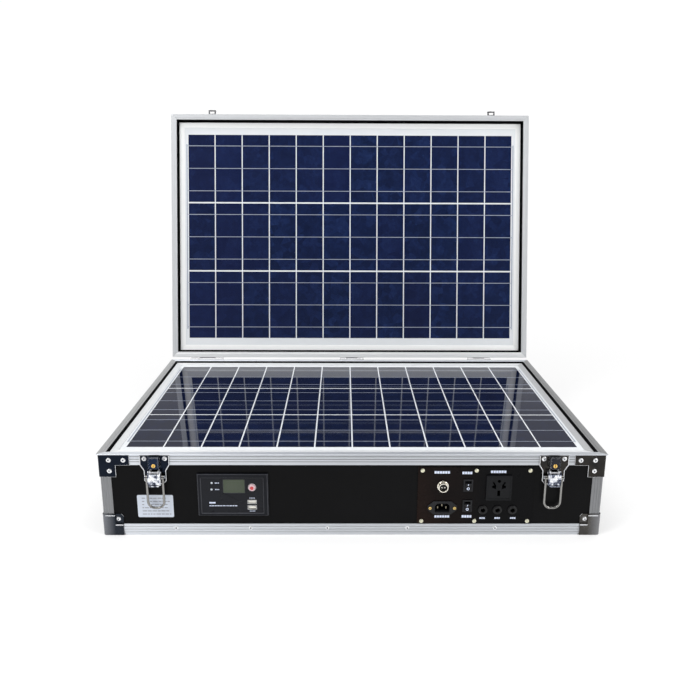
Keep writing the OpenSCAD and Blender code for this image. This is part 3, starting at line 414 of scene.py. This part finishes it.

# the cells in the base are a darker copy: painted shade mixes their colour towards near black
for kind, cell_shade, haze, spec, ior in (("", 0.0, .06, .05, 1.5), ("_base", .6, .04, .0, 1.5)):
    m = Mat("pv_cell" + kind, (.006, .013, .07), 0, .42, spec, 1.0, haze)
    m.b.inputs["Coat IOR"].default_value = ior
    c = m.attr("pv_co")
    g1 = m.node("ShaderNodeSeparateColor")
    m.link(m.voronoi(c, 58), g1.inputs[0])
    g2 = m.node("ShaderNodeSeparateColor")
    m.link(m.voronoi(c, 150), g2.inputs[0])
    grain = m.math("ADD", m.math("MULTIPLY", g1.outputs[0], .62), m.math("MULTIPLY", g2.outputs[1], .38))
    base = m.ramp(grain, [(0.0, (.0032, .0085, .034)), (.45, (.0045, .0120, .050)), (.8, (.0070, .0180, .073)), (1.0, (.012, .027, .100))])
    base = m.mix(m.range(m.noise(c, 5, 3, .5), .3, .75, 0, .35), base, (.006, .009, .036))
    # each cell has its own tone
    tone = m.noise(c, .37, 1, .5)
    base = m.mix(m.range(tone, .35, .65, 0, .55), base, m.mix(m.noise(c, .61, 1, .5), (.0058, .0052, .020), (.0060, .0150, .082)))
    sep = m.node("ShaderNodeSeparateXYZ")
    m.link(m.attr("pv_fine"), sep.inputs[0])
    finger = m.math("GREATER_THAN", m.math("FRACT", m.math("MULTIPLY", sep.outputs[0], 1 / .0022)), .93)
    base = m.mix(m.math("MULTIPLY", finger, .30), base, (.10, .13, .24))
    m.color(m.mix(cell_shade, base, (.0006, .0014, .0060)))
    m.rough(m.range(grain, 0, 1, .34, .52))
    MATS["pv_cell" + kind] = m.m

m = Mat("pv_ribbon", (.42, .46, .54), .35, .38, .2, .8, .022)
c = m.attr("pv_co")
m.color(m.mix(m.noise(c, 300, 3, .6), (.30, .34, .43), (.46, .50, .59)))
MATS["pv_ribbon"] = m.m

# the floor: pale and matt, and it runs into the white surround with distance
m = Mat("studio_floor", (.93, .93, .93), 0, .85, .15)
c = m.coords((1, 1, 1))
far = m.node("ShaderNodeVectorMath", operation="LENGTH")
m.link(c, far.inputs[0])
fade = m.range(far.outputs["Value"], .45, 1.5, .38, 1)
em = m.node("ShaderNodeEmission")
em.inputs["Color"].default_value = (1, 1, 1, 1)
em.inputs["Strength"].default_value = 1.02
mx = m.node("ShaderNodeMixShader")
out = next(n for n in m.t.nodes if n.type == "OUTPUT_MATERIAL")
m.link(fade, mx.inputs[0])
m.link(m.b.outputs[0], mx.inputs[1])
m.link(em.outputs[0], mx.inputs[2])
m.link(mx.outputs[0], out.inputs["Surface"])
m.color(m.mix(m.noise(c, 3, 3, .5), (.91, .91, .91), (.95, .95, .95)))
MATS["floor"] = m.m


# ------------------------------------------------------------------ mesh helpers
def link_object(name, mesh, mats):
    o = bpy.data.objects.new(name, mesh)
    bpy.context.scene.collection.objects.link(o)
    for k in mats:
        mesh.materials.append(MATS[k])
    return o


def finish_shape(o, bevel, segs=2, angle=32, edge_mat=-1):
    if bevel:
        b = o.modifiers.new("edges", "BEVEL")
        b.width, b.segments, b.limit_method, b.angle_limit = bevel * MM, segs, "ANGLE", math.radians(angle)
        b.use_clamp_overlap = True
        b.miter_outer = "MITER_ARC"
        b.material = edge_mat
    w = o.modifiers.new("normals", "WEIGHTED_NORMAL")
    w.mode, w.weight, w.keep_sharp = "FACE_AREA", 60, True


def refine(node, mats, bevel=.3, segs=2, pick=None, angle=32, edge_mat=-1, sharp=48, name=None):
    """A copy of a CAD node with true rounded edges and its own materials, in place of the plain one.
    pick(centre_mm, normal, island_box) gives the material's number, in the shut lid's frame for lid parts."""
    src = NODES[node]
    lid = BODY[node] == "lid"
    bm = bmesh.new()
    bm.from_mesh(src.data)
    bmesh.ops.remove_doubles(bm, verts=bm.verts, dist=3e-6)
    bmesh.ops.dissolve_limit(bm, angle_limit=math.radians(.4), verts=bm.verts, edges=bm.edges, delimit={"NORMAL"})
    for f in bm.faces:
        f.smooth = True
        f.material_index = 0
    me = bpy.data.meshes.new(node + ".mesh")
    bm.to_mesh(me)
    bm.free()
    for key in ("custom_normal",):
        a = me.attributes.get(key)
        if a:
            me.attributes.remove(a)
    me.materials.clear()
    if pick:
        boxes = islands(me, lid)
        for p in me.polygons:
            c = (SHUT @ p.center if lid else p.center) / MM
            n = (SHUT.to_3x3() @ p.normal) if lid else p.normal
            p.material_index = pick(c, n, boxes[p.vertices[0]])
    me.set_sharp_from_angle(angle=math.radians(sharp))
    o = link_object(name or node + ".shape", me, mats)
    finish_shape(o, bevel, segs, angle, edge_mat)
    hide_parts(node)
    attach(o, BODY[node])
    return o


def islands(me, lid):
    """For each vertex, the box in mm of the connected part it belongs to."""
    par = list(range(len(me.vertices)))

    def root(i):
        while par[i] != i:
            par[i] = par[par[i]]
            i = par[i]
        return i

    for e in me.edges:
        a, b = root(e.vertices[0]), root(e.vertices[1])
        if a != b:
            par[a] = b
    box = {}
    for v in me.vertices:
        c = (SHUT @ v.co if lid else v.co) / MM
        r = root(v.index)
        if r not in box:
            box[r] = [list(c), list(c)]
        lo, hi = box[r]
        for k in range(3):
            lo[k] = min(lo[k], c[k])
            hi[k] = max(hi[k], c[k])
    return [box[root(i)] for i in range(len(me.vertices))]


def solid(name, verts, faces, mats, body, bevel=0.0, segs=2, lid=False, smooth=False, mat_of=None, angle=32):
    """A new piece from points in mm."""
    me = bpy.data.meshes.new(name + ".mesh")
    me.from_pydata([Vector(v) * MM for v in verts], [], faces)
    me.validate()
    bm = bmesh.new()
    bm.from_mesh(me)
    bmesh.ops.recalc_face_normals(bm, faces=bm.faces)
    bm.to_mesh(me)
    bm.free()
    if lid:
        me.transform(OPEN)
    for i, p in enumerate(me.polygons):
        p.use_smooth = True
        if mat_of:
            p.material_index = mat_of(i)
    me.set_sharp_from_angle(angle=math.radians(40))
    o = link_object(name, me, mats)
    finish_shape(o, bevel, segs, angle)
    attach(o, body)
    return o


def box_into(verts, faces, x, y, z):
    k = len(verts)
    verts += [(a, b, c) for a in x for b in y for c in z]
    faces += [[k + i for i in f] for f in ((0, 1, 3, 2), (4, 6, 7, 5), (0, 4, 5, 1), (2, 3, 7, 6), (0, 2, 6, 4), (1, 5, 7, 3))]


def prism_into(verts, faces, outline, y0, y1):
    """An outline in X and Z, from y0 to y1."""
    k, n = len(verts), len(outline)
    verts += [(x, y0, z) for x, z in outline] + [(x, y1, z) for x, z in outline]
    faces.append([k + i for i in range(n)][::-1])
    faces.append([k + n + i for i in range(n)])
    faces += [[k + i, k + (i + 1) % n, k + n + (i + 1) % n, k + n + i] for i in range(n)]


def round_rect(x0, x1, z0, z1, r, n=6):
    pts = []
    for cx, cz, a0 in ((x1 - r, z1 - r, 0), (x0 + r, z1 - r, 90), (x0 + r, z0 + r, 180), (x1 - r, z0 + r, 270)):
        for i in range(n + 1):
            a = math.radians(a0 + 90 * i / n)
            pts.append((cx + r * math.cos(a), cz + r * math.sin(a)))
    return pts


# ------------------------------------------------------------------ which face gets which material
def along_ring(c, n, box):
    """X members 0, Y members 1."""
    return 0 if (HY - abs(c[1])) < (HX - abs(c[0])) else 1


def by_island_axis(c, n, box):
    """0, 1, 2 for a part that is longest along X, Y or Z."""
    d = [box[1][k] - box[0][k] for k in range(3)]
    return d.index(max(d))


def rivet_core_shade(c, n, box):
    """The dimple of each blind rivet is painted darker, as painted shade."""
    d = [box[1][k] - box[0][k] for k in range(3)]
    ax = d.index(min(d))
    mid = [(box[1][k] + box[0][k]) / 2 for k in range(3)]
    r = math.sqrt(sum((c[k] - mid[k]) ** 2 for k in range(3) if k != ax))
    return 1 if r < 1.25 else 0


def rim_pick(c, n, box):
    """The flutes are dull and painted darker, as painted shade in the grooves, and the inner flange is painted black,
    as painted shade in the groove beside the panel.
    """
    k = along_ring(c, n, box)
    if .35 < abs(n.z) < .93 and 3 < abs(c.z - H) < 17:
        return 2
    if (-math.copysign(1, c[k ^ 1]) * n[k ^ 1]) > .9 and (HY - abs(c.y) if k == 0 else HX - abs(c.x)) > 11:
        return 3
    return k


def rail_pick(c, n, box):
    # sloped groove faces take the painted groove shade
    return 2 if .35 < abs(n.z) < .93 else along_ring(c, n, box)


def post_pick(c, n, box):
    corner = FX - abs(c.x) < 3.4 and FY - abs(c.y) < 3.4
    # the post's groove faces take the painted groove shade
    return 1 if not corner and min(abs(n.x), abs(n.y)) > .35 else 0


# sloped faces of the protectors take the painted edge highlight
def protector_pick(c, n, box):
    return 1 if .2 < abs(n.z) < .95 else 0


# ------------------------------------------------------------------ the case
refine("base_top_rim", ["alu_x", "alu_y", "flute", "groove_shade"], .35, 2, rim_pick)
refine("base_bottom_rails", ["alu_x", "alu_y", "flute_soft"], .35, 2, rail_pick)
refine("base_corner_posts", ["alu_z", "flute"], .35, 2, post_pick)
refine("lid_rim", ["alu_x_lid", "alu_y_lid", "flute_lid", "groove_shade_lid"], .35, 2, rim_pick)
refine("lid_edge_rails", ["alu_x_lid", "alu_y_lid", "flute_soft_lid"], .35, 2, rail_pick)
refine("base_pv_frame", ["pvf_x", "pvf_y"], .45, 3, along_ring)
refine("lid_pv_frame", ["pvf_x_lid", "pvf_y_lid"], .45, 3, along_ring)
for n in ("base_bottom_panel", "base_front_panel", "base_side_panels"):
    refine(n, ["laminate"], .25, 1)
refine("lid_shell", ["laminate_lid"], .25, 1)
# the plates' bevels take the painted edge highlight
refine("base_corner_plates", ["plate_dark", "plate_edge_highlight"], .55, 3, edge_mat=1)
refine("base_corner_protectors", ["protector", "plate_edge_highlight"], .5, 3, protector_pick)
refine("lid_corner_protectors", ["protector_lid", "plate_edge_highlight_lid"], .5, 3, protector_pick)
refine("base_rivets", ["rivet", "mandrel"], 0, pick=rivet_core_shade)
refine("lid_rivets", ["rivet_lid", "mandrel_lid"], 0, pick=rivet_core_shade)
refine("base_panel_battens", ["wood"], .8, 2)
refine("base_pv_junction_box", ["junction"], .8, 3)
refine("lid_pv_junction_box", ["junction_lid"], .8, 3)
refine("hinge_base_leaves", ["hinge"], .25, 2)
refine("hinge_lid_leaves", ["hinge"], .25, 2)
refine("hinge_pins", ["steel"], .3, 2)


# latches: dark plate, a painted reflection, inside a bright raised border, a painted highlight; bright lock housing
def latch_pick(c, n, box):
    if c[1] < -FY - 8.9 and 119 < c[2] + 141.5 - H < 137.5:
        return 2
    if c[1] < -FY - 1.6:
        return 2 if c[2] + 141.5 - H > 117.5 and c[1] < -FY - 2.5 else 1
    return 0


refine("latch_plates", ["plate_dark", "plate_edge_highlight", "lock_body"], .3, 2, latch_pick, edge_mat=1)
refine("left_lock_cylinder", ["brass"], .2, 2)
refine("right_lock_cylinder", ["brass"], .2, 2)
for side in ("left", "right"):
    refine(side + "_latch_lever", ["lever"], .35, 3)
    refine(side + "_latch_bail", ["wire"], 0)
# the keepers' bevels take the painted edge highlight
refine("latch_keepers", ["keeper", "plate_edge_highlight_lid"], .35, 2, edge_mat=1)
# pressed ribs in each lever's tongue
for side in ("left", "right"):
    v, f = [], []
    x0, y0, z0 = LATCH_X[side], -290.1, LEVER_Z - 9.4
    for e in (-1, 1):
        prism_into(v, f, [(x0 + e * 7.6, z0 + 3.6), (x0 + e * 9.0, z0 + 2.4), (x0 + e * 1.2, z0 - 8.8), (x0, z0 - 7.4)][::e], y0 + .3, y0 - 1.0)
    prism_into(v, f, round_rect(x0 - 3.2, x0 + 3.2, z0 - 1.8, z0 + 3.6, 1.6, 4), y0 + .3, y0 - .8)
    solid(side + "_lever_ribs", v, f, ["lever"], side + "_latch_lever", .3, 2)


# ------------------------------------------------------------------ photovoltaic panels
random.seed(11)


def pv_stack(tag, lid):
    """Backsheet, 36 cut cells and their ribbons, drawn with the face towards +Z, then put in place."""
    if lid:
        place = OPEN @ Matrix.Translation((0, 0, (LID_Z0 + 12) * MM)) @ Matrix.Diagonal((1, 1, -1, 1))
    else:
        place = Matrix.Translation((0, 0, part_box("base_pv_frame")[1].z))
    body = "lid" if lid else "base"

    def piece(name, boxes, mat, offsets=None, bevel=.0):
        verts, faces, co, fine = [], [], [], []
        for k, (x, y, z) in enumerate(boxes):
            box_into(verts, faces, x, y, z)
            ox, oy, oz = offsets[k] if offsets else (0, 0, 0)
            for (a, b, c) in verts[-8:]:
                co.append((a * MM + ox, b * MM + oy, c * MM + oz))
                fine.append((a * MM, b * MM, 0))
        me = bpy.data.meshes.new(name + ".mesh")
        me.from_pydata([Vector(v) * MM for v in verts], [], faces)
        for key, data in (("pv_co", co), ("pv_fine", fine)):
            at = me.attributes.new(key, "FLOAT_VECTOR", "POINT")
            at.data.foreach_set("vector", [c for p in data for c in p])
        me.transform(place)
        bm = bmesh.new()
        bm.from_mesh(me)
        bmesh.ops.recalc_face_normals(bm, faces=bm.faces)
        bm.to_mesh(me)
        bm.free()
        o = link_object(name, me, [mat])
        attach(o, body)
        return o

    back = piece(tag + "_pv_backsheet", [((-395.3, 395.3), (-262.3, 262.3), (-5.2, -1.30))], "pv_back")
    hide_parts(tag + "_pv_laminate")
    cells, offs = [], []
    for r in range(3):
        for k in range(12):
            x0 = -376.9 + k * 63.0
            y0 = -236.9 + r * 158.8
            cells.append(((x0, x0 + 60.6), (y0, y0 + 155.4), (-1.32, -1.20)))
            offs.append((random.uniform(-9, 9), random.uniform(-9, 9), random.uniform(-9, 9)))
    piece(tag + "_pv_cells", cells, "pv_cell" if lid else "pv_cell_base", offs)
    rib = []
    for r in range(3):
        y0 = -237.3 + r * 158.8
        for q in (26, 78, 130):
            rib.append(((-379.5, 379.2), (y0 + q - .75, y0 + q + .75), (-1.22, -1.10)))
    for s in (-1, 1):
        rib.append(((s * 380.6 - 1.2, s * 380.6 + 1.2), (-215, 215), (-1.26, -1.14)))
    piece(tag + "_pv_ribbons", rib, "pv_ribbon")


pv_stack("base", False)
pv_stack("lid", True)


# ------------------------------------------------------------------ charge controller
def ctrl_pick(c, n, box):
    inside = -247.8 < c[0] < -145.6 and 39.9 < c[2] < 103.2
    return 1 if inside and -FY - 2.2 < c[1] < -FY - 1.0 and abs(n[1]) > .9 else 0


# the housing's bevels take the painted bezel highlight
refine("controller_housing", ["bezel", "face", "bezel_edge_highlight"], .45, 3, ctrl_pick, edge_mat=2)
refine("controller_lcd", ["lcd"], .3, 2)
refine("controller_button", ["red"], .5, 3)


def usb_pick(c, n, box):
    for z in (50, 60):
        if -170.5 < c[0] < -158.9 and z + .15 < c[2] < z + 2.25 and -275.5 < c[1] < -263:
            return 1
    return 0


refine("usb_sockets", ["usb_metal", "tongue"], .15, 2, usb_pick)
# moulded tongues that carry the contacts, nearly as far out as the shells
v, f = [], []
for z in (50, 60):
    prism_into(v, f, round_rect(-170.9, -158.5, z - 1.9, z + 2.1, .5, 3), -264.4, -278.6)
solid("usb_tongues", v, f, ["tongue"], "base", .2, 2)
# pale ring round the red button
v, f = [], []
k, nn = 0, 40
for i in range(nn):
    a = 2 * math.pi * i / nn
    for r, y in ((5.75, -279.45), (6.6, -279.45), (6.6, -279.75), (5.75, -279.75)):
        v.append((-164.2 + r * math.cos(a), y, 86 + r * math.sin(a)))
for i in range(nn):
    j = (i + 1) % nn
    for q in range(4):
        f.append([i * 4 + q, i * 4 + (q + 1) % 4, j * 4 + (q + 1) % 4, j * 4 + q])
solid("button_ring", v, f, ["ring_pale"], "base", .1, 2)


def dome_into(verts, faces, x, y, z, r, h, n=20, rings=4):
    k = len(verts)
    for j in range(rings):
        a = math.pi / 2 * j / rings
        for i in range(n):
            t = 2 * math.pi * i / n
            verts.append((x + r * math.cos(a) * math.cos(t), y - h * math.sin(a), z + r * math.cos(a) * math.sin(t)))
    verts.append((x, y - h, z))
    for j in range(rings - 1):
        for i in range(n):
            m2 = (i + 1) % n
            faces.append([k + j * n + i, k + j * n + m2, k + (j + 1) * n + m2, k + (j + 1) * n + i])
    for i in range(n):
        faces.append([k + (rings - 1) * n + i, k + (rings - 1) * n + (i + 1) % n, k + rings * n])
    faces.append([k + i for i in range(n)][::-1])


v, f = [], []
for x, z in ((-229.7, 93.7), (-230.3, 82.2)):
    dome_into(v, f, x, -279.45, z, 1.9, .9)
solid("controller_leds", v, f, ["led"], "base")
v, f = [], []
yb, yf = -279.48, -279.56
for z in (93.7, 82.2):
    for q in range(3):
        prism_into(v, f, round_rect(-224.6 + q * 2.5, -222.7 + q * 2.5, z - .8, z + .8, .3, 2), yb, yf)
prism_into(v, f, round_rect(-235, -224.6, 57.2, 59.8, .6, 3), yb, yf)
random.seed(5)
x = -235.0
while x < -189:
    w = random.uniform(1.6, 4.2)
    prism_into(v, f, round_rect(x, x + w, 52.4, 53.8, .3, 2), yb, yf)
    x += w + .8
for q in range(4):
    prism_into(v, f, round_rect(-169 + q * 2.4, -167.2 + q * 2.4, 43.0, 44.2, .25, 2), yb, yf)
    prism_into(v, f, round_rect(-169 + q * 2.4, -167.2 + q * 2.4, 66.4, 67.6, .25, 2), yb, yf)
solid("controller_marks", v, f, ["ink"], "base")
# faint segments of the display: three digits and a unit bar
v, f = [], []
yb, yf = -279.36, -279.44
for q in range(4):
    x0, z0, w, h, t = -205.5 + q * 6.6, 81.5, 4.2, 11.4, .9
    for a in ((x0 + t, x0 + w - t, z0, z0 + t), (x0 + t, x0 + w - t, z0 + h / 2 - t / 2, z0 + h / 2 + t / 2), (x0 + t, x0 + w - t, z0 + h - t, z0 + h),
              (x0, x0 + t, z0 + t, z0 + h / 2 - t / 2), (x0, x0 + t, z0 + h / 2 + t / 2, z0 + h - t),
              (x0 + w - t, x0 + w, z0 + t, z0 + h / 2 - t / 2), (x0 + w - t, x0 + w, z0 + h / 2 + t / 2, z0 + h - t)):
        box_into(v, f, (a[0], a[1]), (yf, yb), (a[2], a[3]))
box_into(v, f, (-205.5, -182), (yf, yb), (96.0, 96.7))
solid("lcd_segments", v, f, ["lcd_ink"], "base")


# ------------------------------------------------------------------ control plate and fittings
refine("control_plate", ["control_plate"], .3, 2)


def screw_pick(c, n, box):
    return 1 if box[1][0] - box[0][0] < 6 else 0


refine("panel_screws", ["screw", "screw_brass"], .15, 2, screw_pick)
refine("aviation_socket_shell", ["nickel"], .45, 3)
refine("aviation_socket_core", ["abs", "pin_bright"], .2, 2,
       lambda c, n, b: 1 if c[1] < -FY - 1.6 and abs(abs(c[0] - 148.1) - 2.4) < 1.05 and abs(c[2] - 88) < 1.05 else 0)
refine("iec_inlet_body", ["abs_soft"], .5, 3)
refine("iec_inlet_pins", ["pin_dim"], .25, 2)
refine("rocker_housings", ["abs_soft"], .35, 2)
refine("upper_rocker", ["rocker"], .4, 3)
refine("lower_rocker", ["rocker"], .4, 3)
refine("outlet_socket", ["outlet"], .5, 3)
refine("dc_sockets", ["dc", "dc_pin"], .3, 2,
       lambda c, n, b: 1 if -276 < c[1] < -268 and min(math.hypot(c[0] - x, c[2] - 45.4) for x in (215.5, 239.6, 264.5)) < 1.2 else 0)

# on and off marks on the rockers, which lie 10 degrees out of upright
for name, zc in (("upper", 89.3), ("lower", 52.5)):
    tilt = Matrix.Translation((189.5, -FY + 5.5, zc)) @ Matrix.Rotation(math.radians(10), 4, "X")
    v, f = [], []
    n_ring = 20
    pts = []
    for i in range(n_ring):
        a = 2 * math.pi * i / n_ring
        for r, d in ((1.2, 0), (2.3, 0), (2.3, .10), (1.2, .10)):
            zz = -3.7 + r * math.sin(a)
            yy = -8.9 + (0.2222 * (zz + 4.5) if zz > -4.5 else .4 * (zz + 4.5)) - .04 - d
            pts.append((r * math.cos(a), yy, zz))
    f0 = [[i * 4 + q, i * 4 + (q + 1) % 4, ((i + 1) % n_ring) * 4 + (q + 1) % 4, ((i + 1) % n_ring) * 4 + q] for i in range(n_ring) for q in range(4)]
    k = len(pts)
    for x in (-.7, .7):
        for zz in (1.6, 5.4):
            for d in (0, .10):
                yy = -7.9 - 1.0 * min(zz, 4.5) / 4.5 - (.6 * (zz - 4.5) / 1.5 if zz > 4.5 else 0) - .03 - d
                pts.append((x, yy, zz))
    f0 += [[k + i for i in q] for q in ((0, 1, 3, 2), (4, 6, 7, 5), (0, 4, 5, 1), (2, 3, 7, 6), (0, 2, 6, 4), (1, 5, 7, 3))]
    v = [tuple(tilt @ Vector(p)) for p in pts]
    solid(name + "_rocker_marks", v, f0, ["ink"], name + "_rocker")

# printed captions: plain rows of small blocks
v, f = [], []
yb, yf = -FY + .02, -FY - .06
for cx, cz, n, w, h in ((146.3, 112, 6, 4.3, 4.4), (187.3, 111, 4, 4.2, 4.4), (238.3, 113, 6, 4.3, 4.4), (148.3, 33.0, 6, 4.2, 4.2),
                        (189.3, 33.0, 4, 4.2, 4.6), (215.3, 30, 3, 3.2, 3.0), (240.3, 30, 3, 3.2, 3.0), (266.3, 30, 3, 3.2, 3.0)):
    for i in range(n):
        x0 = cx + (i - n / 2) * w
        prism_into(v, f, round_rect(x0 + .3, x0 + w - .3, cz - h / 2, cz + h / 2, .5, 3), yb, yf)
solid("plate_captions", v, f, ["ink"], "base")

# rating label with plain ruled lines
v, f = [], []
prism_into(v, f, round_rect(-353.7, -294.7, 31, 71, 2.4), -PY + .02, -PY - .16)
solid("rating_label", v, f, ["paper"], "base", .05, 2)
v, f = [], []
random.seed(3)
for r in range(6):
    z = 65.2 - r * 5.7
    x = -346
    end = -302 + random.uniform(-8, 2)
    while x < end:
        w = random.uniform(2.5, 8)
        if r in (0, 1, 2) and -342 < x < -334:
            x = -333
        prism_into(v, f, round_rect(x, min(x + w, end + 1.5), z - .75, z + .75, .3, 2), -PY - .15, -PY - .20)
        x += w + 1.2
solid("rating_label_lines", v, f, ["ink_grey"], "base")


# ------------------------------------------------------------------ inside and sides
refine("battery_packs", ["battery", "terminal"], 1.2, 3, lambda c, n, b: 1 if c[2] > 91.5 and c[0] > -115 else 0)
refine("inverter_case", ["inverter"], .5, 2)
refine("power_cables", ["cable_black", "cable_red"], 0, pick=lambda c, n, b: 1 if c[1] > 0 else 0)
refine("trolley_channels", ["tube"], .3, 2)
refine("trolley_cup", ["abs"], .8, 3)
refine("wheel_housings", ["abs"], .6, 3)
refine("wheel_axles", ["steel"], .3, 2)
refine("inverter_fan_rotor", ["fan"], .25, 2)
refine("trolley_mid_tubes", ["tube"], .4, 3)
refine("trolley_grip", ["grip", "tube"], .9, 3, lambda c, n, b: 1 if c[0] < 391.9 else 0)
refine("trolley_release_button", ["catch"], .9, 3)


def wheel_pick(yc):
    return lambda c, n, b: 0 if math.hypot(c[0] + 397.6, c[2] - 24.4) > 16.9 else 1


refine("front_wheel", ["tyre", "hub"], .5, 3, wheel_pick(-190))
refine("rear_wheel", ["tyre", "hub"], .5, 3, wheel_pick(190))


# ------------------------------------------------------------------ floor, surround and lights
me = bpy.data.meshes.new("studio_floor.mesh")
n = 64
me.from_pydata([(9 * math.cos(2 * math.pi * i / n), 9 * math.sin(2 * math.pi * i / n), -.0006) for i in range(n)], [], [list(range(n))])
floor = link_object("studio_floor", me, ["floor"])

world = bpy.data.worlds.new("studio")
bpy.context.scene.world = world
world.use_nodes = True
wt = world.node_tree
bg = next(x for x in wt.nodes if x.type == "BACKGROUND")
tc = wt.nodes.new("ShaderNodeTexCoord")
sp = wt.nodes.new("ShaderNodeSeparateXYZ")
wt.links.new(tc.outputs["Generated"], sp.inputs[0])
mr = wt.nodes.new("ShaderNodeMapRange")
mr.interpolation_type = "SMOOTHSTEP"
for k, x in zip(("From Min", "From Max", "To Min", "To Max"), (-.80, .25, .07, 1.0)):
    mr.inputs[k].default_value = x
wt.links.new(sp.outputs[1], mr.inputs["Value"])
zr = wt.nodes.new("ShaderNodeMapRange")
for k, x in zip(("From Min", "From Max", "To Min", "To Max"), (.45, .9, 0, .8)):
    zr.inputs[k].default_value = x
wt.links.new(sp.outputs[2], zr.inputs["Value"])
# above the horizon the surround falls off, as a studio's paper does
hr = wt.nodes.new("ShaderNodeMapRange")
hr.interpolation_type = "SMOOTHSTEP"
for k, x in zip(("From Min", "From Max", "To Min", "To Max"), (.19, .34, 1.0, .32)):
    hr.inputs[k].default_value = x
wt.links.new(sp.outputs[2], hr.inputs["Value"])
low = wt.nodes.new("ShaderNodeMath")
low.operation = "MULTIPLY"
wt.links.new(mr.outputs["Result"], low.inputs[0])
wt.links.new(hr.outputs["Result"], low.inputs[1])
mxv = wt.nodes.new("ShaderNodeMath")
mxv.operation = "MAXIMUM"
wt.links.new(low.outputs[0], mxv.inputs[0])
wt.links.new(zr.outputs["Result"], mxv.inputs[1])
cmb = wt.nodes.new("ShaderNodeCombineColor")
for k in range(3):
    wt.links.new(mxv.outputs[0], cmb.inputs[k])
wt.links.new(cmb.outputs[0], bg.inputs["Color"])
bg.inputs["Strength"].default_value = 1.02


def softbox(name, at, aim, size, power, color=(1, 1, 1), size_y=None):
    d = bpy.data.lights.new(name, "AREA")
    d.energy, d.size, d.color = power, size, color
    if size_y:
        d.shape, d.size_y = "RECTANGLE", size_y
    o = bpy.data.objects.new(name, d)
    bpy.context.scene.collection.objects.link(o)
    o.location = at
    o.rotation_mode = "QUATERNION"
    o.rotation_quaternion = (Vector(aim) - Vector(at)).to_track_quat("-Z", "Y")
    return o


softbox("key", (-1.9, -1.5, 2.2), (0, 0, .2), 1.4, 46)
softbox("fill", (2.2, -1.4, 1.5), (0, 0, .2), 1.3, 31)
softbox("top", (0, .1, 2.8), (0, 0, .2), 2.2, 34)
